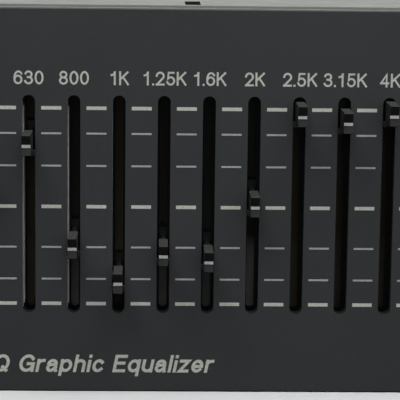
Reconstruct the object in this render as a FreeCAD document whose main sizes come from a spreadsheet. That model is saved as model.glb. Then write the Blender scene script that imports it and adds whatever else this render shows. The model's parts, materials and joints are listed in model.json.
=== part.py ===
import FreeCAD, Part
import math
import os
import re
import Sketcher

# A 19-inch rack graphic equalizer, two units high, with 31 one-third-octave faders.
#
# Frame, in millimetres: X runs along the front panel to the right, Y runs from the front to the
# back, and Z points up. The origin is the centre of the four rack slots, on the panel's back face.

FRONT_PANEL = {
    "panel_width": 482.6, "panel_height": 88.1, "panel_thick": 3.0, "panel_edge_radius": 0.4,
    "rack_pitch_x": 465.1, "rack_pitch_z": 76.2, "rack_slot_length": 10.3, "rack_slot_width": 6.8,
    "panel_screw_x": 209, "panel_screw_z": 30, "panel_screw_hole": 1.7, "countersink": 1.6,
}
FADERS = {
    "band_count": 31, "band_pitch": 10.16, "first_band_x": -189.4, "zero_level_z": -0.9,
    "half_travel": 22.5, "fader_slot_length": 50, "fader_slot_width": 2.9, "fader_slot_z": -0.54,
    "cap_width": 2.0, "cap_front_y": -13.1, "cap_base_y": -3.7, "cap_front_height": 4.7,
    "cap_waist_y": -12.1, "waist_high_z": 0.25, "waist_low_z": -0.65, "cap_toe_y": -12.6,
    "cap_round": 0.15, "ledge_drop": 3.3, "ledge_height": 1.1, "ledge_width": 3.0,
    "ledge_thick": 1.2,
    "lever_width": 1.0, "lever_height": 3.6, "lever_grip": 5.0, "lever_clearance": 0.02,
    "carriage_width": 6.6, "carriage_height": 7, "carriage_front_y": 5.4, "carriage_back_y": 9.5,
    "frame_width": 8.6, "frame_height": 60, "frame_front_y": 4.5, "frame_back_y": 11.5,
    "frame_wall": 0.6, "frame_slot_width": 1.8, "track_thick": 1.2, "track_clearance": 0.05,
}
CASE = {
    "case_width": 432, "case_depth": 190, "case_bottom_z": -43, "case_top_z": 43.05, "sheet": 1.2,
    "flange_depth": 12, "bend_radius": 1.1, "cover_gap": 0.05,
    "cover_front_y": 7.3, "cover_edge": 0.2, "rail_depth": 7.8, "cover_lip_z": 30,
    "rear_lip_drop": 10, "notch_width": 3.6, "notch_front_y": 8, "notch_back_y": 21,
    "vent_width": 3, "vent_length": 42, "vent_pitch": 8, "vent_first_x": 92, "vent_y": 105,
    "vent_count": 13, "side_vent_height": 22,
    "side_vent_first_y": 50, "side_vent_pitch": 9, "side_vent_count": 12, "side_vent_z": -2,
    "screw_hole": 1.6, "side_screw_z": 36, "side_screw_first_y": 20, "side_screw_pitch": 75,
    "side_screw_count": 3,
    "rear_screw_pitch": 180, "rear_screw_z": 37,
}
BOARDS = {
    "board_thick": 1.6, "front_board_left_x": -196, "front_board_right_x": 184,
    "front_board_low_z": -38.5, "front_board_high_z": 37.5, "post_radius": 2.4,
    "post_first_x": -190, "post_pitch_x": 92.5, "post_high_z": 33.6, "post_low_z": -34.4,
    "post_count": 5, "main_board_left_x": -160, "main_board_right_x": 95,
    "main_board_front_y": 28, "main_board_back_y": 168, "main_board_lift": 6,
    "main_board_z": -35.8,
    "main_post_radius": 3, "main_post_inset": 6, "ribbon_width": 40, "ribbon_thick": 1,
    "ribbon_z": -18, "ribbon_y": 30, "ribbon_bend": 8, "ribbon_first_x": -120, "ribbon_pitch": 75,
    "ribbon_count": 3,
}
ELECTRONICS = {
    "chip_length": 9.6, "chip_width": 6.4, "chip_height": 3.4, "chip_lift": 0.5, "chip_pitch_x": 15,
    "chip_pitch_y": 22, "chip_columns": 14, "chip_first_x": -146, "chip_first_y": 92,
    "film_length": 7.2, "film_width": 3.6, "film_height": 8.4, "film_pitch_x": 7.9, "film_columns": 27,
    "film_pitch_y": 14, "film_first_x": -150, "film_first_y": 52,
    "can_radius": 11, "can_height": 32, "can_groove": 0.7, "can_x": 82, "can_first_y": 78,
    "can_pitch": 28, "sink_x": 20, "sink_width": 46, "sink_y": 140, "sink_base": 3,
    "sink_height": 26, "fin_thick": 1.4, "fin_length": 12, "fin_count": 8,
    "regulator_width": 10, "regulator_height": 15, "regulator_thick": 4.5, "regulator_pitch": 15,
    "core_x": 150, "core_y": 92, "core_width": 60, "core_stack": 32, "core_height": 50,
    "core_leg": 20, "core_side": 10, "coil_depth": 52, "coil_clearance": 0.3, "coil_margin": 1,
}
CONTROLS = {
    "knob_x": 146, "knob_z": 19, "knob_radius": 11, "knob_cap_radius": 8.6, "knob_front_y": -18,
    "knob_back_y": -3.8, "knob_skirt": 4, "knob_recess_radius": 7.2, "knob_recess_depth": 2.6,
    "knob_flutes": 18, "flute_radius": 0.9, "pointer_width": 1.2, "pointer_depth": 0.6,
    "shaft_radius": 3, "shaft_clearance": 0.05, "shaft_front_y": -15, "shaft_back_y": 8,
    "bush_radius": 3.5, "bush_hole": 3.6, "bush_front_y": -5, "pot_radius": 8.2, "pot_front_y": 2,
    "pot_back_y": 11.5, "nut_radius": 5.8, "nut_thick": 2,
    "button_first_x": 133, "button_pitch": 17, "button_z": -20, "button_width": 8.4,
    "button_height": 5.4, "button_gap": 0.3, "button_front_y": -6.5, "button_back_y": 0.8,
    "button_round": 0.6, "plunger_size": 3, "plunger_end_y": 6.4,
    "switch_size": 8.6, "switch_front_y": 4.2, "switch_bore": 3.7, "switch_bore_end_y": 10,
    "led_radius": 1.5, "led_hole": 1.6, "led_dome_y": -3.2, "led_flange": 1.9,
    "led_flange_y": 0.8, "led_flange_thick": 1, "led_lead": 0.5, "led_lead_gap": 2.54,
    "led_z": -9, "clip_led_x": 167, "clip_led_z": 26,
}
POWER_SWITCH = {
    "power_x": 194, "power_z": -5, "power_led_z": 24, "power_cut_width": 13.2,
    "power_cut_height": 19.6, "bezel_width": 15.4, "bezel_height": 22, "bezel_thick": 1.6,
    "well_half_width": 5.3, "well_half_height": 8.7, "well_depth": 9, "switch_back_y": 16,
    "rocker_half_width": 4.9, "rocker_half_height": 7.4, "rocker_rim": 5.2, "rocker_valley": 3.6,
    "rocker_back": 2.2, "rocker_round": 0.4, "pivot_y": -1.2, "pivot_radius": 1,
    "pivot_length": 0.9, "pivot_clearance": 0.05, "rocker_tilt": 9,
}
CONNECTORS = {
    "connector_z": -6, "xlr_in_x": -150, "xlr_out_x": -66, "jack_in_x": -112, "jack_out_x": -28,
    "xlr_flange_width": 26, "xlr_flange_height": 31, "xlr_flange_thick": 2, "xlr_barrel": 11.9,
    "xlr_bore": 9.6, "xlr_insert": 7.9, "xlr_cavity_y": 178, "xlr_back_y": 166,
    "xlr_screw_x": 9.5, "xlr_screw_z": 12, "pin_circle": 3.6, "pin_radius": 1.2,
    "pin_end_y": 187.2, "contact_radius": 1.35, "contact_depth": 11,
    "jack_bore": 3.2, "jack_bush": 4.7, "jack_front_y": 194.5, "jack_body": 16,
    "jack_body_back_y": 160, "jack_bore_end_y": 162, "jack_nut": 8, "jack_nut_thick": 2,
    "inlet_x": 165, "inlet_z": -10, "inlet_flange_width": 50, "inlet_flange_height": 24,
    "inlet_flange_thick": 2.5, "inlet_body_width": 28, "inlet_body_height": 20,
    "inlet_body_back_y": 168, "inlet_recess_width": 24.4, "inlet_recess_height": 16.6,
    "inlet_recess_y": 175.5, "inlet_screw_x": 20, "blade_width": 2, "blade_height": 4,
    "blade_x": 7, "blade_drop": 2, "blade_end_y": 188, "inlet_chamfer": 3.6,
}
SCREWS = {
    "screw_radius": 1.5, "screw_length": 6, "screw_head": 2.8, "screw_head_height": 1.9,
    "sunk_head": 3.1, "sunk_length": 7.5, "cross_width": 0.7, "cross_length": 3.2,
    "cross_depth": 1,
}
SHEET_SECTIONS = (FRONT_PANEL, FADERS, CASE, BOARDS, ELECTRONICS, CONTROLS, POWER_SWITCH,
                  CONNECTORS, SCREWS)

# Each band's name and where its fader rests, in millimetres above the 0 dB mark.
BANDS = (
    ("20_hz", 9), ("25_hz", 12.5), ("31_hz", 14), ("40_hz", 11.5), ("50_hz", 8), ("63_hz", 5.5),
    ("80_hz", 3), ("100_hz", 1.5), ("125_hz", -2), ("160_hz", -4.5), ("200_hz", -6),
    ("250_hz", -3.5), ("315_hz", 2), ("400_hz", 6.5), ("500_hz", 11), ("630_hz", 15.1),
    ("800_hz", -7.9), ("1_khz", -15.8), ("1_25_khz", -9.5), ("1_6_khz", -10.8), ("2_khz", 1.7),
    ("2_5_khz", 22), ("3_15_khz", 20.6), ("4_khz", 22.3), ("5_khz", 17.5), ("6_3_khz", 12),
    ("8_khz", 8.5), ("10_khz", 10), ("12_5_khz", 13.5), ("16_khz", 16), ("20_khz", 12),
)

X_AXIS = FreeCAD.Vector(1, 0, 0)
Z_AXIS = FreeCAD.Vector(0, 0, 1)
# Turns a screw or other piece that is drawn standing up, so that its top faces this way.
FACING_FRONT = FreeCAD.Rotation(X_AXIS, 90)
FACING_BACK = FreeCAD.Rotation(X_AXIS, -90)
FACING_RIGHT = FreeCAD.Rotation(FreeCAD.Vector(0, 1, 0), 90)
FACING_LEFT = FreeCAD.Rotation(FreeCAD.Vector(0, 1, 0), -90)
FACING_UP = FreeCAD.Rotation()

doc = FreeCAD.newDocument("graphic_equalizer")
sheet = doc.addObject("Spreadsheet::Sheet", "dims")
sub_parts = []


# ---------------------------------------------------------------- sheet and expressions

def fill_sheet():
    """Every driving dimension gets a named cell."""
    row = 0
    values = dict(("rest_" + name, height) for name, height in BANDS)
    for section in SHEET_SECTIONS:
        values.update(section)
    for name, value in values.items():
        row += 1
        sheet.set("A%d" % row, name)
        sheet.set("B%d" % row, str(value))
        sheet.setAlias("B%d" % row, name)
    doc.recompute()
    return set(values)


ALIASES = fill_sheet()


def formula(text):
    """The expression with the sheet's name put before each alias in it."""
    return re.sub(r"[a-z][a-z0-9_]*", lambda m: "dims." + m.group() if m.group() in ALIASES
                  else m.group(), str(text))


def bind(obj, prop, text):
    obj.setExpression(prop, formula(text))


def number(text):
    """What an expression on the sheet comes to now."""
    return float(sheet.evalExpression(formula(text)))


def bind_place(obj, x="0", y="0", z="0"):
    for axis, text in zip("xyz", (x, y, z)):
        bind(obj, "Placement.Base." + axis, text)


def sub_part(obj, label):
    """Names an object as one of the pieces that is written to a file."""
    obj.Label = label
    sub_parts.append(obj)
    return obj


# ---------------------------------------------------------------- sketches

def new_sketch(body, name, plane, offset="0"):
    """A sketch on one of its body's own origin planes, moved along that plane's normal."""
    sketch = body.newObject("Sketcher::SketchObject", name)
    support = [f for f in body.Origin.OriginFeatures if f.Role == plane][0]
    sketch.AttachmentSupport = [(support, "")]
    sketch.MapMode = "FlatFace"
    bind(sketch, "AttachmentOffset.Base.z", offset)
    return sketch


def constrain(sketch, text, kind, *where):
    index = sketch.addConstraint(Sketcher.Constraint(kind, *where, number(text)))
    bind(sketch, "Constraints[%d]" % index, text)


def add_outline(sketch, corners):
    """A closed outline. A corner is (x, y), or (x, y, arc_x, arc_y) where the edge that leaves it
    is an arc about the centre (arc_x, arc_y); a fifth item "cw" turns that arc clockwise."""
    first = sketch.GeometryCount
    count = len(corners)
    points = [FreeCAD.Vector(number(c[0]), number(c[1]), 0) for c in corners]
    for i, corner in enumerate(corners):
        start = points[i]
        end = points[(i + 1) % count]
        if len(corner) == 2:
            sketch.addGeometry(Part.LineSegment(start, end), False)
            continue
        centre = FreeCAD.Vector(number(corner[2]), number(corner[3]), 0)
        circle = Part.Circle(centre, Z_AXIS, (start - centre).Length)
        clockwise = len(corner) == 5
        low, high = (end, start) if clockwise else (start, end)
        sketch.addGeometry(Part.ArcOfCircle(circle, circle.parameter(low),
                                            circle.parameter(high)), False)
    for i, corner in enumerate(corners):
        clockwise = len(corner) == 5
        after = (i + 1) % count
        start_of_edge = 2 if clockwise else 1
        start_of_next = 2 if len(corners[after]) == 5 else 1
        sketch.addConstraint(Sketcher.Constraint(
            "Coincident", first + i, 3 - start_of_edge, first + after, start_of_next))
        constrain(sketch, corner[0], "DistanceX", -1, 1, first + i, start_of_edge)
        constrain(sketch, corner[1], "DistanceY", -1, 1, first + i, start_of_edge)
        if len(corner) > 2:
            # The arc's ends leave its centre free to move only across the line between them.
            chord = points[after] - points[i]
            kind = 0 if abs(chord.y) > abs(chord.x) else 1
            constrain(sketch, corner[2 + kind], ("DistanceX", "DistanceY")[kind],
                      -1, 1, first + i, 3)


def add_rectangle(sketch, left, low, right, high):
    add_outline(sketch, [(left, low), (right, low), (right, high), (left, high)])


def add_circle(sketch, x, y, radius):
    index = sketch.addGeometry(Part.Circle(
        FreeCAD.Vector(number(x), number(y), 0), Z_AXIS, number(radius)), False)
    constrain(sketch, x, "DistanceX", -1, 1, index, 3)
    constrain(sketch, y, "DistanceY", -1, 1, index, 3)
    constrain(sketch, radius, "Radius", index)


def add_slot(sketch, x, y, length, width, upright):
    """A slot with round ends about (x, y)."""
    reach = "((%s) - (%s)) / 2" % (length, width)
    half = "(%s) / 2" % width
    if upright:
        top, low = "(%s) + %s" % (y, reach), "(%s) - %s" % (y, reach)
        left, right = "(%s) - %s" % (x, half), "(%s) + %s" % (x, half)
        corners = [(right, low), (right, top, x, top), (left, top), (left, low, x, low)]
    else:
        top, low = "(%s) + %s" % (y, half), "(%s) - %s" % (y, half)
        left, right = "(%s) - %s" % (x, reach), "(%s) + %s" % (x, reach)
        corners = [(left, low), (right, low, right, y), (right, top), (left, top, left, y)]
    add_outline(sketch, corners)


# ---------------------------------------------------------------- features

def new_body(name):
    return doc.addObject("PartDesign::Body", name)


def finish_feature(body, feature, sign):
    """Rebuilds, and stops unless the feature adds (1), removes (-1) or does either (0)."""
    before = body.Shape.Volume if len(body.Shape.Solids) else 0
    body.Tip = feature
    doc.recompute()
    change = feature.Shape.Volume - before
    if abs(change) < 1e-6 or change * sign < 0:
        raise RuntimeError("%s changed the volume by %g" % (feature.Name, change))
    return feature


def pad(body, name, sketch, length, along=True, both=False):
    """Adds material along the plane's normal or against it, or with both, half each way. The
    normal of XZ_Plane points to the front."""
    feature = body.newObject("PartDesign::Pad", name)
    feature.Profile = sketch
    feature.Reversed = not along
    if both:
        feature.SideType = "Symmetric"
    bind(feature, "Length", length)
    return finish_feature(body, feature, 1)


def pocket(body, name, sketch, length, along=True, both=False):
    """Removes material along the plane's normal or against it, or half each way."""
    feature = body.newObject("PartDesign::Pocket", name)
    feature.Profile = sketch
    feature.Reversed = along
    if both:
        feature.SideType = "Symmetric"
    bind(feature, "Length", length)
    return finish_feature(body, feature, -1)


def turn(body, name, sketch, axis):
    """A full turn of the sketch about one of its own axes."""
    feature = body.newObject("PartDesign::Revolution", name)
    feature.Profile = sketch
    feature.ReferenceAxis = (sketch, [axis])
    feature.Angle = 360
    return finish_feature(body, feature, 1)


def row_of(body, name, features, sketch, axis, pitch, count, sign=-1):
    """Repeats features in a row along an axis of a sketch: cuts, or with sign 1 solid parts."""
    pattern = body.newObject("PartDesign::LinearPattern", name)
    pattern.Originals = features
    pattern.Direction = (sketch, [axis])
    pattern.Mode = "Spacing"
    bind(pattern, "Offset", pitch)
    bind(pattern, "Occurrences", count)
    return finish_feature(body, pattern, sign)


def round_edges(body, name, radius, chosen, kind="PartDesign::Fillet"):
    """Rounds, or with a Chamfer cuts, the edges for which chosen(edge) is true."""
    base = body.Tip
    names = ["Edge%d" % (i + 1) for i, edge in enumerate(base.Shape.Edges) if chosen(edge)]
    feature = body.newObject(kind, name)
    feature.Base = (base, names)
    bind(feature, "Size" if kind.endswith("Chamfer") else "Radius", radius)
    return finish_feature(body, feature, 0)


def box(name, low, high):
    """A block between two corners, each given as three expressions."""
    block = doc.addObject("Part::Box", name)
    for prop, start, end in zip(("Length", "Width", "Height"), low, high):
        bind(block, prop, "(%s) - (%s)" % (end, start))
    bind_place(block, *low)
    return block


def rod(name, radius, start, length, facing=FACING_BACK):
    """A cylinder that starts at a point and runs the way it faces."""
    cylinder = doc.addObject("Part::Cylinder", name)
    cylinder.Placement.Rotation = facing
    bind(cylinder, "Radius", radius)
    bind(cylinder, "Height", length)
    bind_place(cylinder, *start)
    return cylinder


def cut(name, base, tool):
    result = doc.addObject("Part::Cut", name)
    result.Base = base
    result.Tool = tool
    return result


def fuse(name, pieces):
    result = doc.addObject("Part::MultiFuse", name)
    result.Shapes = pieces
    return result


def group(name, pieces):
    """Separate solids that share one place."""
    result = doc.addObject("Part::Compound", name)
    result.Links = pieces
    return result


def copy_at(name, source, x="0", y="0", z="0", facing=None):
    link = doc.addObject("App::Link", name)
    link.LinkedObject = source
    if facing is not None:
        link.Placement.Rotation = facing
    bind_place(link, x, y, z)
    return link


def prism(name, radius, start, length, facing=FACING_BACK):
    nut = doc.addObject("Part::Prism", name)
    nut.Polygon = 6
    nut.Placement.Rotation = facing
    bind(nut, "Circumradius", radius)
    bind(nut, "Height", length)
    bind_place(nut, *start)
    return nut


def band_x(index):
    return "first_band_x + %d * band_pitch" % index


# ---------------------------------------------------------------- front panel

def along_depth(edge):
    """True for a straight edge that runs from front to back."""
    return abs(edge.BoundBox.XLength) + abs(edge.BoundBox.ZLength) < 1e-6


def make_front_panel():
    body = new_body("front_panel_body")
    outline = new_sketch(body, "panel_outline", "XZ_Plane")
    add_rectangle(outline, "-panel_width / 2", "-panel_height / 2",
                  "panel_width / 2", "panel_height / 2")
    pad(body, "panel_plate", outline, "panel_thick")
    rim_y = -number("panel_thick")
    round_edges(body, "panel_front_edge", "panel_edge_radius",
                lambda e: abs(e.BoundBox.YMin - rim_y) + abs(e.BoundBox.YMax - rim_y) < 1e-6)
    slot = new_sketch(body, "fader_slot", "XZ_Plane")
    add_slot(slot, "first_band_x", "fader_slot_z", "fader_slot_length", "fader_slot_width", True)
    first = pocket(body, "fader_slot_cut", slot, "2 * panel_thick", both=True)
    row_of(body, "fader_slots", [first], slot, "H_Axis", "band_pitch", "band_count")
    holes = new_sketch(body, "panel_holes", "XZ_Plane")
    for x in ("-rack_pitch_x / 2", "rack_pitch_x / 2"):
        for z in ("-rack_pitch_z / 2", "rack_pitch_z / 2"):
            add_slot(holes, x, z, "rack_slot_length", "rack_slot_width", False)
    add_circle(holes, "knob_x", "knob_z", "bush_hole")
    add_circle(holes, "clip_led_x", "clip_led_z", "led_hole")
    add_circle(holes, "power_x", "power_led_z", "led_hole")
    for i in range(3):
        x = "button_first_x + %d * button_pitch" % i
        add_circle(holes, x, "led_z", "led_hole")
        half_width = "(button_width / 2 + button_gap)"
        half_height = "(button_height / 2 + button_gap)"
        add_rectangle(holes, "%s - %s" % (x, half_width), "button_z - " + half_height,
                      "%s + %s" % (x, half_width), "button_z + " + half_height)
    add_rectangle(holes, "power_x - power_cut_width / 2", "power_z - power_cut_height / 2",
                  "power_x + power_cut_width / 2", "power_z + power_cut_height / 2")
    pocket(body, "panel_hole_cuts", holes, "2 * panel_thick", both=True)
    screws = new_sketch(body, "panel_screw_holes", "XZ_Plane")
    for x in ("-panel_screw_x", "panel_screw_x"):
        for z in ("-panel_screw_z", "panel_screw_z"):
            add_circle(screws, x, z, "panel_screw_hole")
    pocket(body, "panel_screw_cuts", screws, "2 * panel_thick", both=True)
    hole = number("panel_screw_hole")
    round_edges(body, "panel_countersinks", "countersink", lambda e: abs(
        e.BoundBox.YMax - rim_y) < 1e-6 and abs(e.BoundBox.XLength - 2 * hole) < 1e-4
        and abs(e.BoundBox.ZLength - 2 * hole) < 1e-4, "PartDesign::Chamfer")
    return sub_part(body, "front_panel")


# ---------------------------------------------------------------- faders

def make_cap():
    """One fader cap about its own centre line: a narrow blade with a waisted front and a ledge."""
    body = new_body("fader_cap")
    half = "cap_front_height / 2"
    # The front slopes back under its top edge to a flat waist, then out again to the toe.
    side = new_sketch(body, "cap_side", "YZ_Plane")
    add_outline(side, [("cap_base_y", "-" + half), ("cap_base_y", half), ("cap_front_y", half),
                       ("cap_waist_y", "waist_high_z"), ("cap_waist_y", "waist_low_z"),
                       ("cap_toe_y", "-" + half)])
    pad(body, "cap_blade", side, "cap_width", both=True)
    ledge = new_sketch(body, "cap_ledge_outline", "XZ_Plane", "-cap_base_y")
    add_rectangle(ledge, "-ledge_width / 2", "-ledge_drop", "ledge_width / 2",
                  "ledge_height - ledge_drop")
    pad(body, "cap_ledge", ledge, "ledge_thick")
    socket = new_sketch(body, "lever_socket", "XZ_Plane", "-cap_base_y")
    add_rectangle(socket, "-lever_width / 2 - lever_clearance",
                  "-lever_height / 2 - lever_clearance", "lever_width / 2 + lever_clearance",
                  "lever_height / 2 + lever_clearance")
    pocket(body, "cap_socket", socket, "lever_grip")
    front = number("cap_front_y")
    round_edges(body, "cap_rounding", "cap_round", lambda e: e.BoundBox.YMax < front + 0.6)
    return body


def make_fader_parts():
    lever = box("fader_lever",
                ("-lever_width / 2", "cap_base_y - lever_grip", "-lever_height / 2"),
                ("lever_width / 2", "carriage_front_y", "lever_height / 2"))
    carriage = box("wiper_carriage",
                   ("-carriage_width / 2", "carriage_front_y", "-carriage_height / 2"),
                   ("carriage_width / 2", "carriage_back_y", "carriage_height / 2"))
    return [make_cap(), lever, carriage]


def make_faders():
    pieces = make_fader_parts()
    for index, (band, height) in enumerate(BANDS):
        fader = group("fader_" + band, pieces)
        bind_place(fader, band_x(index), "0", "zero_level_z + rest_" + band)
        sub_part(fader, "slider_" + band)


def make_slider_frames():
    """Folded steel housings: a channel with a slotted front and an open back."""
    body = new_body("slider_frames_body")
    low = "zero_level_z - frame_height / 2"
    high = "zero_level_z + frame_height / 2"
    left = "first_band_x - frame_width / 2"
    right = "first_band_x + frame_width / 2"
    outer = new_sketch(body, "frame_outline", "XZ_Plane", "-frame_front_y")
    add_rectangle(outer, left, low, right, high)
    shell = pad(body, "frame_block", outer, "frame_back_y - frame_front_y", along=False)
    inner = new_sketch(body, "frame_inside", "XZ_Plane", "-frame_front_y - frame_wall")
    add_rectangle(inner, left + " + frame_wall", low + " + frame_wall",
                  right + " - frame_wall", high + " - frame_wall")
    hollow = pocket(body, "frame_hollow", inner, "frame_back_y - frame_front_y", along=False)
    slot = new_sketch(body, "frame_slot_outline", "XZ_Plane", "-frame_front_y")
    add_slot(slot, "first_band_x", "zero_level_z",
             "2 * half_travel + lever_height + frame_slot_width - lever_width",
             "frame_slot_width", True)
    opening = pocket(body, "frame_slot", slot, "frame_wall", along=False)
    row_of(body, "frame_row", [shell, hollow, opening], outer, "H_Axis", "band_pitch",
           "band_count", 1)
    return sub_part(body, "slider_frames")


def make_slider_tracks():
    """The resistive boards that close the backs of the housings."""
    body = new_body("slider_tracks_body")
    half_width = "(frame_width / 2 - frame_wall - track_clearance)"
    half_height = "(frame_height / 2 - frame_wall - track_clearance)"
    outline = new_sketch(body, "track_outline", "XZ_Plane", "-frame_back_y")
    add_rectangle(outline, "first_band_x - " + half_width, "zero_level_z - " + half_height,
                  "first_band_x + " + half_width, "zero_level_z + " + half_height)
    first = pad(body, "track_board", outline, "track_thick")
    row_of(body, "track_row", [first], outline, "H_Axis", "band_pitch", "band_count", 1)
    return sub_part(body, "slider_tracks")


# ---------------------------------------------------------------- case

def make_base_plate():
    body = new_body("base_plate_body")
    outline = new_sketch(body, "base_outline", "XY_Plane", "case_bottom_z")
    add_rectangle(outline, "-case_width / 2", "0", "case_width / 2", "case_depth")
    pad(body, "base_plate", outline, "sheet")
    holes = new_sketch(body, "base_holes", "XY_Plane", "case_bottom_z")
    for x, y in main_post_places():
        add_circle(holes, x, y, "screw_hole")
    pocket(body, "base_cuts", holes, "sheet")
    return body


def make_side_wall():
    """The right-hand wall, with a flange at its front for the panel's screws."""
    body = new_body("side_wall_body")
    outer = "case_width / 2"
    low = "case_bottom_z + sheet"
    section = new_sketch(body, "wall_section", "XY_Plane", low)
    add_outline(section, [(outer, "0"), (outer, "case_depth"), (outer + " - sheet", "case_depth"),
                          (outer + " - sheet", "sheet"), (outer + " - flange_depth", "sheet"),
                          (outer + " - flange_depth", "0")])
    pad(body, "wall_channel", section, "case_top_z - case_bottom_z - sheet")
    holes = new_sketch(body, "flange_screw_holes", "XZ_Plane")
    add_circle(holes, "panel_screw_x", "-panel_screw_z", "screw_hole")
    add_circle(holes, "panel_screw_x", "panel_screw_z", "screw_hole")
    pocket(body, "flange_screw_cuts", holes, "sheet", along=False)
    vent = new_sketch(body, "side_vent", "YZ_Plane")
    add_slot(vent, "side_vent_first_y", "side_vent_z", "side_vent_height", "vent_width", True)
    first = pocket(body, "side_vent_cut", vent, "2 * case_width", both=True)
    row_of(body, "side_vents", [first], vent, "H_Axis", "side_vent_pitch", "side_vent_count")
    screw = new_sketch(body, "side_screw_hole", "YZ_Plane")
    add_circle(screw, "side_screw_first_y", "side_screw_z", "screw_hole")
    hole = pocket(body, "side_screw_cut", screw, "2 * case_width", both=True)
    row_of(body, "side_screw_holes", [hole], screw, "H_Axis", "side_screw_pitch",
           "side_screw_count")
    return body


def make_chassis_tray():
    """The base plate, two side walls and a rail behind the panel's top, welded together."""
    right = make_side_wall()
    left = doc.addObject("Part::Mirroring", "left_wall")
    left.Source = right
    left.Normal = X_AXIS
    inside = "(case_width / 2 - sheet)"
    rail = box("front_rail", ("-%s + flange_depth - sheet" % inside, "0", "case_top_z - sheet"),
               ("%s - flange_depth + sheet" % inside, "rail_depth", "case_top_z"))
    return sub_part(group("chassis_sheets", [make_base_plate(), right, left, rail]),
                    "chassis_tray")


def make_rear_panel():
    """A flat plate with openings for the connectors, and holes for their screws."""
    body = new_body("rear_panel_body")
    outline = new_sketch(body, "rear_outline", "XZ_Plane", "-case_depth")
    half = "(case_width / 2 - sheet)"
    add_rectangle(outline, "-" + half, "case_bottom_z + sheet", half, "case_top_z")
    pad(body, "rear_plate", outline, "sheet")
    holes = new_sketch(body, "rear_holes", "XZ_Plane", "-case_depth")
    for x in ("xlr_in_x", "xlr_out_x"):
        add_circle(holes, x, "connector_z", "xlr_barrel + cover_gap")
        for sign in ("-", "+"):
            add_circle(holes, "%s %s xlr_screw_x" % (x, sign),
                       "connector_z %s xlr_screw_z" % sign, "screw_hole")
    for x in ("jack_in_x", "jack_out_x"):
        add_circle(holes, x, "connector_z", "jack_bush + cover_gap")
    add_rectangle(holes, "inlet_x - inlet_body_width / 2 - cover_gap",
                  "inlet_z - inlet_body_height / 2 - cover_gap",
                  "inlet_x + inlet_body_width / 2 + cover_gap",
                  "inlet_z + inlet_body_height / 2 + cover_gap")
    for sign in ("-", "+"):
        add_circle(holes, "inlet_x %s inlet_screw_x" % sign, "inlet_z", "screw_hole")
    for i in (-1, 0, 1):
        add_circle(holes, "%d * rear_screw_pitch" % i, "rear_screw_z", "screw_hole")
    pocket(body, "rear_cuts", holes, "2 * sheet", both=True)
    return sub_part(body, "rear_panel")


def make_top_cover():
    """A flat top with two side lips, a rear lip, a locating notch and a row of vents."""
    body = new_body("top_cover_body")
    inner = "(case_width / 2 + cover_gap)"
    outer = "(case_width / 2 + cover_gap + sheet)"
    section = new_sketch(body, "cover_section", "XZ_Plane", "-cover_front_y")
    add_outline(section, [
        ("-" + outer, "cover_lip_z"), ("-" + inner, "cover_lip_z"), ("-" + inner, "case_top_z"),
        (inner, "case_top_z"), (inner, "cover_lip_z"), (outer, "cover_lip_z"),
        (outer, "case_top_z + sheet"), ("-" + outer, "case_top_z + sheet")])
    pad(body, "cover_channel", section, "case_depth + cover_gap + sheet - cover_front_y",
        along=False)
    lip = new_sketch(body, "rear_lip_outline", "XZ_Plane", "-case_depth - cover_gap - sheet")
    add_rectangle(lip, "-" + outer, "case_top_z - rear_lip_drop", outer, "case_top_z")
    pad(body, "rear_lip", lip, "sheet")
    top = number("case_top_z + sheet")
    front = number("cover_front_y")
    round_edges(body, "cover_bends", "bend_radius", lambda e: abs(e.BoundBox.ZMin - top) < 1e-6
                and e.BoundBox.YMax > front + 1)
    round_edges(body, "cover_front_edge", "cover_edge", lambda e: e.BoundBox.YMax < front + 1e-6
                and e.BoundBox.XLength > 100 and e.BoundBox.ZMin > top - 1e-6)
    notch = new_sketch(body, "notch_outline", "XY_Plane", "case_top_z")
    add_rectangle(notch, "-notch_width / 2", "notch_front_y", "notch_width / 2", "notch_back_y")
    pocket(body, "notch_cut", notch, "2 * sheet")
    vent = new_sketch(body, "top_vent", "XY_Plane", "case_top_z")
    add_slot(vent, "vent_first_x", "vent_y", "vent_length", "vent_width", True)
    first = pocket(body, "top_vent_cut", vent, "2 * sheet")
    row_of(body, "top_vents", [first], vent, "H_Axis", "vent_pitch", "vent_count")
    screw = new_sketch(body, "cover_side_hole", "YZ_Plane")
    add_circle(screw, "side_screw_first_y", "side_screw_z", "screw_hole")
    hole = pocket(body, "cover_side_cut", screw, "2 * case_width", both=True)
    row_of(body, "cover_side_holes", [hole], screw, "H_Axis", "side_screw_pitch",
           "side_screw_count")
    rear = new_sketch(body, "cover_rear_holes", "XZ_Plane", "-case_depth - 2 * sheet")
    for i in (-1, 0, 1):
        add_circle(rear, "%d * rear_screw_pitch" % i, "rear_screw_z", "screw_hole")
    pocket(body, "cover_rear_cuts", rear, "2 * sheet")
    return sub_part(body, "top_cover")


# ---------------------------------------------------------------- boards

def front_post_places():
    """Where the posts between the panel and the front board stand, as (x, z)."""
    return [("post_first_x + %d * post_pitch_x" % i, z)
            for i in range(int(number("post_count"))) for z in ("post_low_z", "post_high_z")]


def main_post_places():
    """Where the posts under the main board stand, as (x, y)."""
    left = "main_board_left_x + main_post_inset"
    right = "main_board_right_x - main_post_inset"
    middle = "(main_board_left_x + main_board_right_x) / 2"
    return [(x, y) for x in (left, middle, right)
            for y in ("main_board_front_y + main_post_inset",
                      "main_board_back_y - main_post_inset")]


def make_slider_board():
    body = new_body("slider_board_body")
    outline = new_sketch(body, "front_board_outline", "XZ_Plane", "-frame_back_y")
    add_rectangle(outline, "front_board_left_x", "front_board_low_z", "front_board_right_x",
                  "front_board_high_z")
    for x, z in front_post_places():
        add_circle(outline, x, z, "screw_hole")
    pad(body, "front_board", outline, "board_thick", along=False)
    return sub_part(body, "slider_board")


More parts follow.
